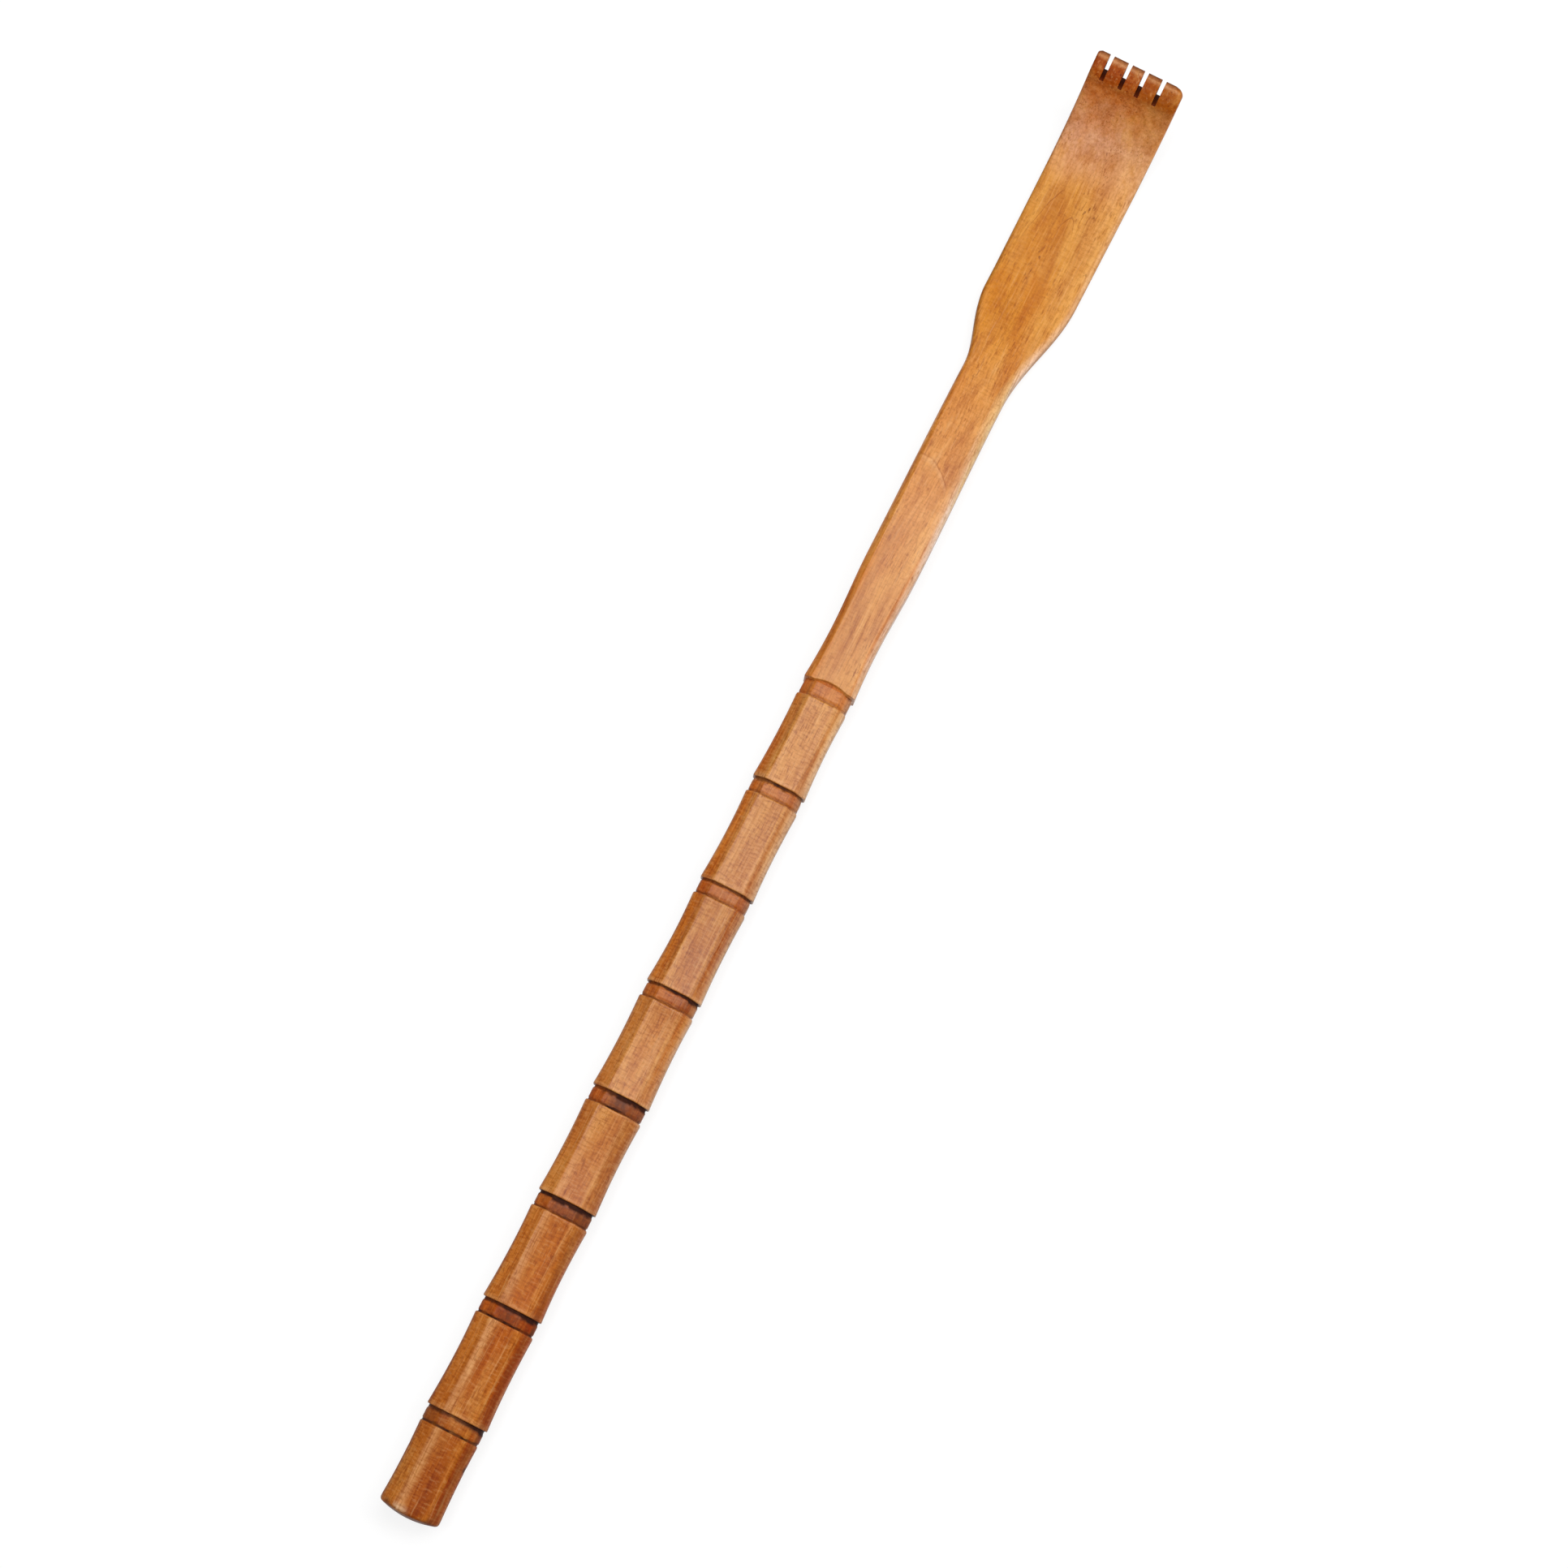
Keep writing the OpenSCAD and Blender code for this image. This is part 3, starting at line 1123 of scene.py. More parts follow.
@dataclass(frozen=True)
class GrooveBurnAndShade:
    """Burn lines, soot, darkening and painted shadow in the grooves, in order from the domed end to the
    joint.

    Lanes give a groove's level at its left, in its middle and at its right.

    Attributes:
        lane_half: Distance of the outer lanes from the middle.
        char: Depth of the dark line under the lip, a burn line that also paints the lip's shadow.
        char_length: Length of that line.
        char_soft: Softness of its end.
        char_waver: Share of its length by which it wavers.
        scribe: Depth of the burn line at the shoulder.
        scribe_past: How far that line goes past the groove.
        scribe_soft: Softness of its ends.
        scribe_waver: Share of its length by which it wavers.
        scribe_fade: Share of its depth by which it wavers.
        sines: Height, waves per millimetre and turn per groove of the sines that make lines waver.
        soot: Soot on the floor.
        darker_under_lip: Darkening that fades away from the lip.
        lip_fade: How that darkening fades.
        end_shade: Painted shadow at the right end of each groove, where the lip overhangs.
        end_fade: How that shadow rises past the right edge.
    """

    lane_half: float = 6.0
    char: Lanes = ((0.75, 0.75, 1.0), (0.85, 1.0, 1.0), (1.0, 1.0, 1.0), (0.60, 1.0, 1.0),
                   (0.75, 1.0, 1.0), (0.68, 0.75, 0.80), (0.60, 1.0, 0.65), (0.0, 0.0, 0.0))
    char_length: Lanes = ((0.9, 0.9, 1.3), (0.9, 1.1, 1.4), (1.1, 1.4, 1.4), (0.9, 1.5, 1.3),
                          (0.75, 0.65, 1.1), (0.8, 0.6, 0.8), (0.9, 0.8, 0.8), (0.9, 0.9, 0.9))
    char_soft: float = 0.16
    char_waver: float = 0.25
    scribe: Lanes = ((0.75, 0.90, 0.75), (0.85, 1.0, 0.70), (0.55, 0.55, 0.55), (0.45, 1.0, 0.30),
                     (0.50, 0.55, 0.25), (0.50, 0.50, 0.10), (0.40, 0.35, 0.25), (0.10, 0.35, 0.20))
    scribe_past: float = 0.15
    scribe_soft: float = 0.14
    scribe_waver: float = 0.30
    scribe_fade: float = 0.25
    sines: Waves = ((0.6, 0.9, 2.1), (0.4, 2.3, 4.7))
    soot: Lanes = ((0.41, 0.03, 0.0), (0.05, 0.48, 0.18), (0.10, 0.50, 0.60), (0.0, 0.90, 0.52),
                   (0.0, 0.0, 0.36), (0.0, 0.0, 0.0), (0.0, 0.0, 0.0), (0.0, 0.0, 0.0))
    darker_under_lip: Lanes = ((0.0, 0.0, 0.85), (0.0, 0.15, 0.60), (0.35, 0.40, 0.50), (0.0, 0.3, 0.5),
                       (0.0, 0.0, 0.0), (0.0, 0.0, 0.0), (0.0, 0.0, 0.0), (0.0, 0.0, 0.0))
    lip_fade: Fade = Fade(3.0, 0.0)
    end_shade: tuple[float, ...] = (0.6, 0.6, 0.6, 0.6, 0.25, 0.25, 0.25, 0.25)
    end_fade: Fade = Fade(-1.8, -0.9)

    def across(self, levels: Lanes, groove: Array, x: Array) -> Array:
        """Levels across the grooves: straight from the left to the middle and on to the right.

        Args:
            levels: Lanes of each groove.
            groove: Numbers of the grooves.
            x: Places across.

        Returns:
            The level at each place.
        """
        left, middle, right = np.array(levels)[groove].T
        lane = np.clip(x / self.lane_half, -1, 1)
        return middle + (right - middle) * np.maximum(lane, 0) + (left - middle) * np.maximum(-lane, 0)

    def waver(self, groove: Array, x: Array) -> Array:
        """How lines waver across: sines whose phases differ from groove to groove."""
        return sum(height * np.sin(waves * x + turn * groove) for height, waves, turn in self.sines)

    def soot_and_shade_at(self, groove: Array, x: Array, to_lip: Array, half: Array) -> Array:
        """Soot on the groove floors, darkening under the lip and painted shadow at the right end,
        whichever is most.

        Args:
            groove: Numbers of the grooves.
            x: Places across.
            to_lip: Distances to the lip above.
            half: Half widths of the handle.

        Returns:
            The darkness, from 0 to 1.
        """
        floor = self.across(self.soot, groove, x)
        lip = self.across(self.darker_under_lip, groove, x) * self.lip_fade.at(to_lip)
        end = self.end_fade.at(x - half) * np.array(self.end_shade)[groove]
        return np.maximum.reduce([floor, lip, end])


@dataclass(frozen=True)
class HandleWearAndSheen:
    """Pale wear and painted sheen on the handle, by the share of its length from the domed end.

    Attributes:
        left: Ridge on the left of the front facet, worn pale and with a painted highlight.
        right: Painted highlight on the ridge on the right of the front facet.
        bevel: Painted sheen on the right bevel near the joint.
        lip: Painted sheen on the band past each lip.
    """

    left: Ridge = Ridge(Levels((0.05, 0.17, 0.30), (-3.15, -3.0, -3.5)), 1.3,
                        Levels((0.0, 0.2, 0.30, 0.36, 0.5), (0.54, 0.62, 0.60, 0.45, 0.20)))
    right: Ridge = Ridge(Levels.flat(4.6), 0.6, Levels((0.2, 0.4, 1.0), (0.05, 0.50, 0.45)))
    bevel: Flank = Flank(Levels.flat(6.0), Levels.flat(0.8), Levels((0.70, 0.80), (0.0, 0.50)))
    lip: Band = Band(0.2, 1.2, 0.3, 0.35)


@dataclass(frozen=True)
class HandleToneAndShading:
    """Golden, lighter facets (above 0) and darker ones (below 0), mostly painted shading, by the share of
    the length from the domed end.

    Attributes:
        left: Tone and painted shading of the left bevel.
        right: Tone and painted shading of the right bevel.
        seam: Dark seam along the right bevel.
        ridge: Painted golden highlight on the right ridge near the domed end.
        middle: Painted shade in the middle of the front near the domed end.
        middle_band: Its place across.
        edge: Painted shade on the outer edges.
        edge_fade: How they darken past the outer edge.
        right_edge_to: Share of the length up to which the right edge is dark too.
        joint: Tone of the groove at the joint, by the distance past its start.
    """

    left: Flank = Flank(Levels((0.7, 0.9), (4.4, 4.7)), Levels((0.0, 0.3, 0.9), (1.2, 1.9, 2.3)),
                        Levels((0.05, 0.17, 0.30, 0.43, 0.60, 0.66, 0.73, 0.79, 0.87, 0.885),
                               (0.42, 0.58, 0.64, 0.48, 0.46, 0.50, 0.50, 0.58, 0.58, -0.85)),
                        Side.LEFT)
    right: Flank = Flank(Levels((0.0, 0.17, 0.30, 0.38, 0.50, 0.62, 0.70),
                                (5.97, 5.65, 5.7, 5.3, 5.1, 5.1, 5.3)),
                         Levels.flat(0.6),
                         Levels((0.05, 0.20, 0.31, 0.43, 0.55, 0.70, 0.76),
                                (-0.85, -0.72, -0.14, -0.05, -0.14, -0.14, -0.05)))
    seam: Ridge = Ridge(Levels((0.60, 0.80), (6.1, 5.7)), 0.5,
                        Levels((0.48, 0.57, 0.71, 0.80), (0.0, -0.35, -0.50, -0.30)))
    ridge: Ridge = Ridge(Levels.flat(5.2), 0.9, Levels((0.30, 0.38), (0.30, 0.0)))
    middle: Levels = Levels((0.08, 0.18, 0.28, 0.36), (-0.20, -0.36, -0.26, 0.0))
    middle_band: Band = Band(-1.0, 3.6, 1.2)
    edge: Levels = Levels((0.28, 0.45), (-0.70, -0.30))
    edge_fade: Fade = Fade(-1.2, -0.4)
    right_edge_to: float = 0.4
    joint: Fade = Fade(-0.2, 0.2, -0.08)


@dataclass(frozen=True)
class HandleShadeAndGlint:
    """Painted shade and a painted glint on the handle's domed end, in its hanging hole and along the
    right bevel near it.

    A place on the dome is its share of the way out to the rim.

    Attributes:
        dome_slack: How far short of the straight part the dome's marks end.
        dome_grain_and_shade: Dark end grain on the dome, which also paints the shade at its rim.
        glint: Painted highlight on the dome's rim.
        glint_side: Where the glint shows across.
        hole_shade: How dark the hole is painted, as painted shade.
        hole_slack: How far past its radius it is dark.
        mouth_shade: Painted shade at the ends of the hole, by the place across.
        mouth_width: Width of that shade along the handle.
        strip: Painted shade along the right bevel, by the distance from the domed end.
        strip_band: Place of that shade past the right edge.
    """

    dome_slack: float = 0.1
    dome_grain_and_shade: Fade = Fade(0.92, 0.72, 0.65)
    glint: Band = Band(0.93, 1.02, 0.03, 0.5)
    glint_side: Fade = Fade(1.0, -2.0)
    hole_shade: float = 0.9
    hole_slack: float = 0.05
    mouth_shade: Fade = Fade(8.3, 9.0, 0.85)
    mouth_width: float = 1.0
    strip: Levels = Levels((70.0, 130.0), (0.38, 0.0))
    strip_band: Band = Band(-2.6, -0.9, 0.5)


@dataclass(frozen=True)
class HeadWearShadeAndSheen:
    """Wear, painted sheen, highlights and shade of the head, by the distance from the joint.

    Attributes:
        front_soft: Height over which the front's paint fades at the sides of the neck.
        wear_and_sheen: Level of the painted sheen on the right edge.
        sheen_width: Width of the sheen band.
        sheen_edge: How it rises past its left limit.
        rim: Painted highlight on the outer edges.
        seam: Tone of the dark seam along the foot's right bevel.
        seam_in: Distance of the seam from the right edge.
        seam_width: Width of the seam.
        foot: Dark left bevel of the foot.
        gold: Golden left side over the foot.
        shoulder: Painted shade on the left shoulder's edge.
        shoulder_edge: How that shade fades in from the left edge.
        pared: Stain of the pared crescent, by the distance past its edge.
        pared_side: Stain at the crescent's sides as a share of the middle's.
        pared_line: Dark line, by the distance past the crescent's edge.
    """

    front_soft: float = 2.0
    wear_and_sheen: Levels = Levels((35.0, 55.0, 78.0, 90.0, 110.0, 130.0, 150.0, 185.0, 205.0),
                            (0.0, 0.12, 0.30, 0.85, 0.85, 0.35, 0.20, 0.25, 0.0))
    sheen_width: Levels = Levels((45.0, 90.0, 110.0, 125.0, 150.0), (3.9, 3.1, 3.3, 2.6, 1.4))
    sheen_edge: Fade = Fade(0.0, 0.7)
    rim: RimHighlight = RimHighlight(Levels((0.0, 45.0, 60.0, 78.0, 90.0, 110.0, 123.0, 140.0, 185.0, 205.0),
                                  (0.40, 0.45, 0.82, 0.85, 1.0, 1.0, 0.42, 0.20, 0.12, 0.0)),
                           Levels.flat(2.5))
    seam: Levels = Levels((45.0, 70.0), (-0.5, 0.0))
    seam_in: float = 1.7
    seam_width: float = 0.5
    foot: Flank = Flank(Levels.flat(4.2), Levels.flat(2.5), Levels((35.0, 60.0), (-0.42, 0.0)), Side.LEFT)
    gold: Flank = Flank(Levels.flat(1.5), Levels.flat(6.0), Levels((40.0, 60.0), (0.0, 0.04)), Side.LEFT)
    shoulder: Levels = Levels((112.0, 130.0, 150.0, 165.0), (0.0, 0.42, 0.42, 0.12))
    shoulder_edge: Fade = Fade(1.7, 0.0)
    pared: Fade = Fade(0.05, -0.25)
    pared_side: float = 0.25
    pared_line: Band = Band(-0.45, -0.05, 0.15, 0.3)


@dataclass(frozen=True)
class TipShadeAndHighlight:
    """Painted shade on the far edge of the claws' ends and a painted highlight on the near one.

    Attributes:
        end_slack: How near the tips a point counts as on the end.
        dark_reach: Painted shade, by the distance back from the tips.
        dark_depth: Painted shade, by the depth through the claw.
        pale_reach: Painted highlight, by the distance back from the tips.
        pale_depth: Painted highlight, by the depth through the claw.
    """

    end_slack: float = 0.05
    dark_reach: Fade = Fade(0.6, 0.0)
    dark_depth: Fade = Fade(1.7, 0.0, 0.95)
    pale_reach: Fade = Fade(1.1, 0.0)
    pale_depth: Fade = Fade(1.2, 1.9, 0.40)


# Pieces

def stick_place() -> tuple[float, float, float]:
    """Y of the handle's end, length of the handle and Z of its axis from the frame, in millimetres."""
    low, high = (np.array(corner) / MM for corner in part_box("bamboo_handle"))
    return low[1], high[1] - low[1], (low[2] + high[2]) / 2


@dataclass
class BambooHandle:
    """The handle: one faceted stick carved into bamboo segments with a groove under each lip.

    All sizes are in millimetres, and places along it are measured from its domed end. A wobble wave
    gives its height, its length and how many times it takes a facet's phase.
    """

    name: str = "carved_bamboo_handle"
    segment_count: int = 8
    segment_pitch: float = 35.45
    end_segment: float = 32.5
    lip_width: tuple[float, float] = (19.8, 17.3)
    lip_thick: tuple[float, float] = (14.8, 13.2)
    front_flat: float = 9.9
    groove_length: float = 4.9
    groove_depth: float = 0.6
    waist_radius: float = 250.0
    waist_from_lip: float = 18.0
    lip_round: float = 0.45
    shoulder_round: float = 0.7
    shoulder_share: float = 0.6
    wall_run: float = 0.12
    notch_depth: float = 0.28
    notch_length: float = 0.9
    notch_soft: float = 0.10
    notch_share: tuple[float, ...] = (0.75, 0.88, 0.95, 1.0, 0.9, 0.72, 0.9, 0.0)
    scribe_depth: float = 0.22
    scribe_length: float = 0.62
    scribe_soft: float = 0.08
    stain: tuple[float, ...] = (0.08, 1.0, 0.75, 1.0, 0.70, 0.7, 0.65, 0.6)
    dome_radius: float = 28.0
    rim_round: float = 0.9
    end_cap: float = 3.4
    hole_radius: float = 1.25
    hole_at: float = 19.8
    columns: int = 144
    row_count: int = 560
    row_density: float = 0.9
    edge_density: float = 9.0
    edge_reach: float = 0.55
    cap_rows: int = 22
    crispness: tuple[float, float] = (15.0, 36.0)
    crisp_from: float = 150.0
    wobble: float = 0.07
    wobble_waves: Waves = ((1.0, 17.0, 1.0), (0.6, 7.3, 2.0))
    wobble_phases: tuple[float, ...] = (0.3, 2.1, 4.0, 1.2, 5.1, 3.3, 0.9, 2.7)
    front_soft: float = 2.5
    side_soft: float = 2.0
    burn: GrooveBurnAndShade = GrooveBurnAndShade()
    wear: HandleWearAndSheen = HandleWearAndSheen()
    tone: HandleToneAndShading = HandleToneAndShading()
    marks: HandleShadeAndGlint = HandleShadeAndGlint()
    # Painted highlight along the handle's outer edges.
    rim: RimHighlight = RimHighlight(Levels((0.05, 0.25, 0.6, 1.0), (0.08, 0.24, 0.50, 0.60)),
                           Levels((0.0, 1.0), (1.2, 2.2)))

    def __post_init__(self) -> None:
        """Take the handle's place and length from the frame."""
        self.end_y, self.length, self.axis_z = stick_place()
        steps = np.arange(self.segment_count - 1) * self.segment_pitch
        self.lips = np.concatenate([[0.0], self.end_segment + steps, [self.length]])

    def taper(self, lip: Array, sizes: tuple[float, float]) -> Array:
        """Straight taper of a size over the lips, from the first lip to the joint.

        Args:
            lip: Numbers of the lips.
            sizes: Size at the first lip and at the joint.

        Returns:
            The size at each lip.
        """
        share = (self.lips[np.maximum(lip, 1)] - self.end_segment) / (self.length - self.end_segment)
        return mix(sizes[0], sizes[1], share)

    def lip_halves(self, lip: Array) -> Array:
        """Distances of the side, bevel and front facets from the axis at each lip, in three columns."""
        side = self.taper(lip, self.lip_width) / 2
        front = self.taper(lip, self.lip_thick) / 2
        slant = (self.front_flat / 2 + front) / np.sqrt(2)
        return np.stack([side, slant, front], axis=-1)

    def stations(self) -> Array:
        """Places of the rings along the straight part, close together at the groove edges."""
        edges = np.concatenate([self.lips[1:], self.lips[1:] - self.groove_length])

        def density(y: Array) -> Array:
            """Rings per length: a low level with a peak at each groove edge."""
            away = np.abs(y[:, None] - edges[None, :])
            return self.row_density + np.sum(self.edge_density * bell(away, self.edge_reach), axis=1)

        return spaced_by_density(self.end_cap, self.length, self.row_count, density)

    def segment_place(self, y: Array) -> tuple[Array, Array, Array, Array]:
        """Where places lie in their segments.

        Args:
            y: Places from the domed end.

        Returns:
            Numbers of the segments, distances from the lip below, distances to the lip above, and
            lengths of the segments without their grooves.
        """
        k = np.clip(np.searchsorted(self.lips, y, side="right") - 1, 0, self.segment_count - 1)
        length = self.lips[k + 1] - self.lips[k]
        return k, y - self.lips[k], self.lips[k + 1] - y, length - self.groove_length

    def carved(self, y: Array) -> tuple[Array, Array]:
        """Carve the stick.

        A segment is a shallow parabola about its waist, rounded over at its lip and its shoulder.
        A groove lies a fixed depth under the lip above it, with a deep notch at the lip and a
        scribed line at the shoulder.

        Args:
            y: Places from the domed end.

        Returns:
            Facet distances in three columns, and groove stain.
        """
        k, d, q, room = self.segment_place(y)
        sag = self.waist_from_lip ** 2 / (2 * self.waist_radius)
        hollow = (d - self.waist_from_lip) ** 2 / (2 * self.waist_radius) - sag
        rounded = round_over(d, self.lip_round) * (k > 0)
        rounded = rounded + round_over(room - d, self.shoulder_round) * self.shoulder_share
        notched = plateau(q, -np.inf, self.notch_length, self.notch_soft)
        notch = np.array(self.notch_share)[k] * self.notch_depth * notched
        scribed = plateau(q, self.groove_length - self.scribe_length, np.inf, self.scribe_soft)
        scribe = self.scribe_depth * scribed
        segment = self.lip_halves(k) + (hollow - rounded)[:, None]
        floor = self.lip_halves(k + 1) - (self.groove_depth + notch + scribe)[:, None]
        below = self.lip_halves(k) - self.groove_depth - self.notch_depth
        in_groove = ease((d - room) / self.wall_run)
        past_lip = np.where(k > 0, ease(d / self.wall_run), 1.0)
        halves = mix(below, mix(segment, floor, in_groove[:, None]), past_lip[:, None])
        return halves, np.maximum(in_groove, 1 - past_lip)

    def burnt_and_shaded(self, x: Array, y: Array) -> Array:
        """Dark lines at both edges of each groove, whose lengths waver as a hand leaves them: burn lines,
        which under each lip and on its wall also paint the lip's shadow.

        Args:
            x: Places across.
            y: Places from the domed end.

        Returns:
            How dark each point is painted, from 0 to 1.
        """
        k, d, q, _ = self.segment_place(y)
        burn = self.burn
        waver = burn.waver(k, x)
        length = burn.across(burn.char_length, k, x) * (1 + burn.char_waver * waver)
        under_lip = plateau(q, -np.inf, length, burn.char_soft) * burn.across(burn.char, k, x)
        low = self.groove_length - self.scribe_length * (1 + burn.scribe_waver * waver)
        high = self.groove_length + burn.scribe_past
        at_shoulder = plateau(q, low, high, burn.scribe_soft) * burn.across(burn.scribe, k, x)
        at_shoulder = at_shoulder * (1 - burn.scribe_fade * waver)
        below = burn.across(burn.char, np.maximum(k - 1, 0), x) * (k > 0)
        wall = (1 - ease(d / self.wall_run)) * below
        return np.maximum.reduce([under_lip * (d > 0), at_shoulder, wall])

    def wear_and_sheen(self, x: Array, y: Array) -> Array:
        """Pale wear and painted sheen on the front: two ridges, worn pale and with painted highlights,
        painted sheen on the right bevel and on a band at each lip.

        Args:
            x: Places across.
            y: Places from the domed end.

        Returns:
            The wear and sheen, from 0 to 1.
        """
        wear = self.wear
        k, d, _, _ = self.segment_place(y)
        bands = [band.at(x, y / self.length) for band in (wear.left, wear.right, wear.bevel)]
        return np.maximum.reduce([*bands, wear.lip.at(d) * (k > 0)])

    def tone_and_shading(self, x: Array, y: Array) -> Array:
        """How golden and light (above 0) or how dark (below 0) the facets are painted, as tone and
        painted shading.

        Each bevel goes through a few levels from the domed end to the joint. Near the domed end the right
        ridge carries a painted golden highlight, and the middle of the front and both outer edges painted
        shade.

        Args:
            x: Places across.
            y: Places from the domed end.

        Returns:
            The tone.
        """
        tone = self.tone
        share = y / self.length
        halves, _ = self.carved(y)
        bands = sum(band.at(x, share) for band in (tone.left, tone.right, tone.seam, tone.ridge))
        middle = tone.middle_band.at(x) * tone.middle.at(share)
        joint = tone.joint.at(y - self.length + self.groove_length)
        edge = tone.edge_fade.at(np.abs(x) - halves[:, 0]) * tone.edge.at(share)
        return bands + middle + joint + edge * ((x < 0) | (share < tone.right_edge_to))

    def ring(self, y: Array, halves: Array) -> tuple[Array, Array]:
        """Section of the stick: an octagon with soft corners.

        The radius at an angle is the p-norm of the facets' closeness, where p is the crispness.

        Args:
            y: Places of the rings.
            halves: Facet distances in three columns.

        Returns:
            X and Z offsets from the axis, one row per ring.
        """
        turn = np.linspace(0, 2 * np.pi, self.columns, endpoint=False)
        phase = np.array(self.wobble_phases)
        facets = np.linspace(0, 2 * np.pi, len(phase), endpoint=False)
        sway = sum(height * np.sin(y[:, None] / length + times * phase)
                   for height, length, times in self.wobble_waves)
        reach = halves[:, [0, 1, 2, 1, 0, 1, 2, 1]] + self.wobble * sway
        toward = np.maximum(np.cos(turn[None, :] - facets[:, None]), 0)
        p = mix(*self.crispness, ease(y / self.crisp_from))[:, None, None]
        closeness = (toward[None] / reach[:, :, None]) ** p
        radius = np.sum(closeness, axis=1) ** (-1 / p[:, :, 0])
        return radius * np.cos(turn), radius * np.sin(turn)

    def build(self) -> bpy.types.Object:
        """Carry the carved section along the axis, close both ends and drill the hanging hole.

        The domed end is part of a sphere whose rim is rounded over.

        Returns:
            The handle.
        """
        y = self.stations()
        halves, _ = self.carved(y)
        x, z = self.ring(y, halves)
        share = np.sin(np.linspace(0, np.pi / 2, self.cap_rows + 1))[1:-1]
        radius = np.hypot(x[:1], z[:1])
        out = share[:, None] * radius
        cap_y = self.dome_radius - np.sqrt(self.dome_radius ** 2 - out ** 2)
        cap_y = cap_y + round_over(radius - out, self.rim_round)
        along = np.concatenate([cap_y, np.broadcast_to(y[:, None], x.shape)])
        x = np.concatenate([share[:, None] * x[:1], x])
        z = np.concatenate([share[:, None] * z[:1], z])
        points = np.stack([x, along + self.end_y, z + self.axis_z], axis=-1).reshape(-1, 3)
        pole = len(points)
        points = np.concatenate([points, [[0.0, self.end_y, self.axis_z]]])
        rows = len(along)
        faces = ring_quads(rows, self.columns).reshape(-1, 4).tolist()
        rim = np.arange(self.columns)
        faces += np.stack([np.full_like(rim, pole), np.roll(rim, -1), rim], axis=1).tolist()
        faces.append(((rows - 1) * self.columns + rim).tolist())
        handle = new_piece(self.name, points, faces)
        centre = np.array([0.0, self.end_y + self.hole_at, self.axis_z])
        drill(handle, centre, self.hole_radius, 3 * self.lip_width[0])
        return handle

    def dress(self, handle: bpy.types.Object, finish: LacqueredWood) -> None:
        """Paint the grooves with their painted shadow, the wear and painted sheen, the painted highlights
        and shade, the end grain and the hole's painted shade, and lacquer the handle.

        Args:
            handle: The handle's object.
            finish: Its wood.
        """
        x, y, z = points_of(handle).T
        y = np.clip(y - self.end_y, 0, self.length - JUST_INSIDE)
        height = z - self.axis_z
        halves, carved = self.carved(y)
        half = halves[:, 0]
        front = ease(height / self.front_soft)
        groove, _, to_lip, _ = self.segment_place(y)
        marks = self.marks
        # Soot, darkening and painted shadow in the grooves.
        soot = self.burn.soot_and_shade_at(groove, x, to_lip, half)
        # Painted shade along the right bevel near the domed end.
        soot = mix(marks.strip_band.at(x - half) * marks.strip.at(y), soot, carved) * front
        out = np.maximum(np.abs(x) / half, np.abs(height) / halves[:, 2])
        # Dark end grain on the dome, which also paints the shade at its rim, and painted shade in the
        # hanging hole.
        on_dome = y < self.end_cap - marks.dome_slack
        in_hole = np.hypot(y - self.hole_at, height) < self.hole_radius + marks.hole_slack
        mouth_shade = bell(y - self.hole_at, marks.mouth_width) * marks.mouth_shade.at(x)
        line = np.maximum(self.burnt_and_shaded(x, y), mouth_shade)
        # Painted highlight on the outer edges and a painted glint on the dome's rim.
        rim = self.rim.at(x, y / self.length, half, half)
        rim = np.maximum(rim, marks.glint.at(out) * marks.glint_side.at(x) * on_dome)
        stains = {
            Stain.GROOVE: carved * np.array(self.stain)[groove],
            Stain.SOOT_AND_SHADE: np.maximum(soot, marks.dome_grain_and_shade.at(out) * on_dome),
            Stain.LINE: np.where(in_hole, marks.hole_shade, line),
            Stain.WEAR_AND_SHEEN: self.wear_and_sheen(x, y) * front * (1 - carved),
            Stain.TONE_AND_SHADING: self.tone_and_shading(x, y) * front,
            Stain.RIM_HIGHLIGHT: rim * ease((height + self.side_soft) / (2 * self.side_soft)),
        }
        for stain, values in stains.items():
            paint(handle, stain, values)
        handle.data.materials.clear()
        handle.data.materials.append(finish.material())
        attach(handle, BODY)
        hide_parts("bamboo_handle")


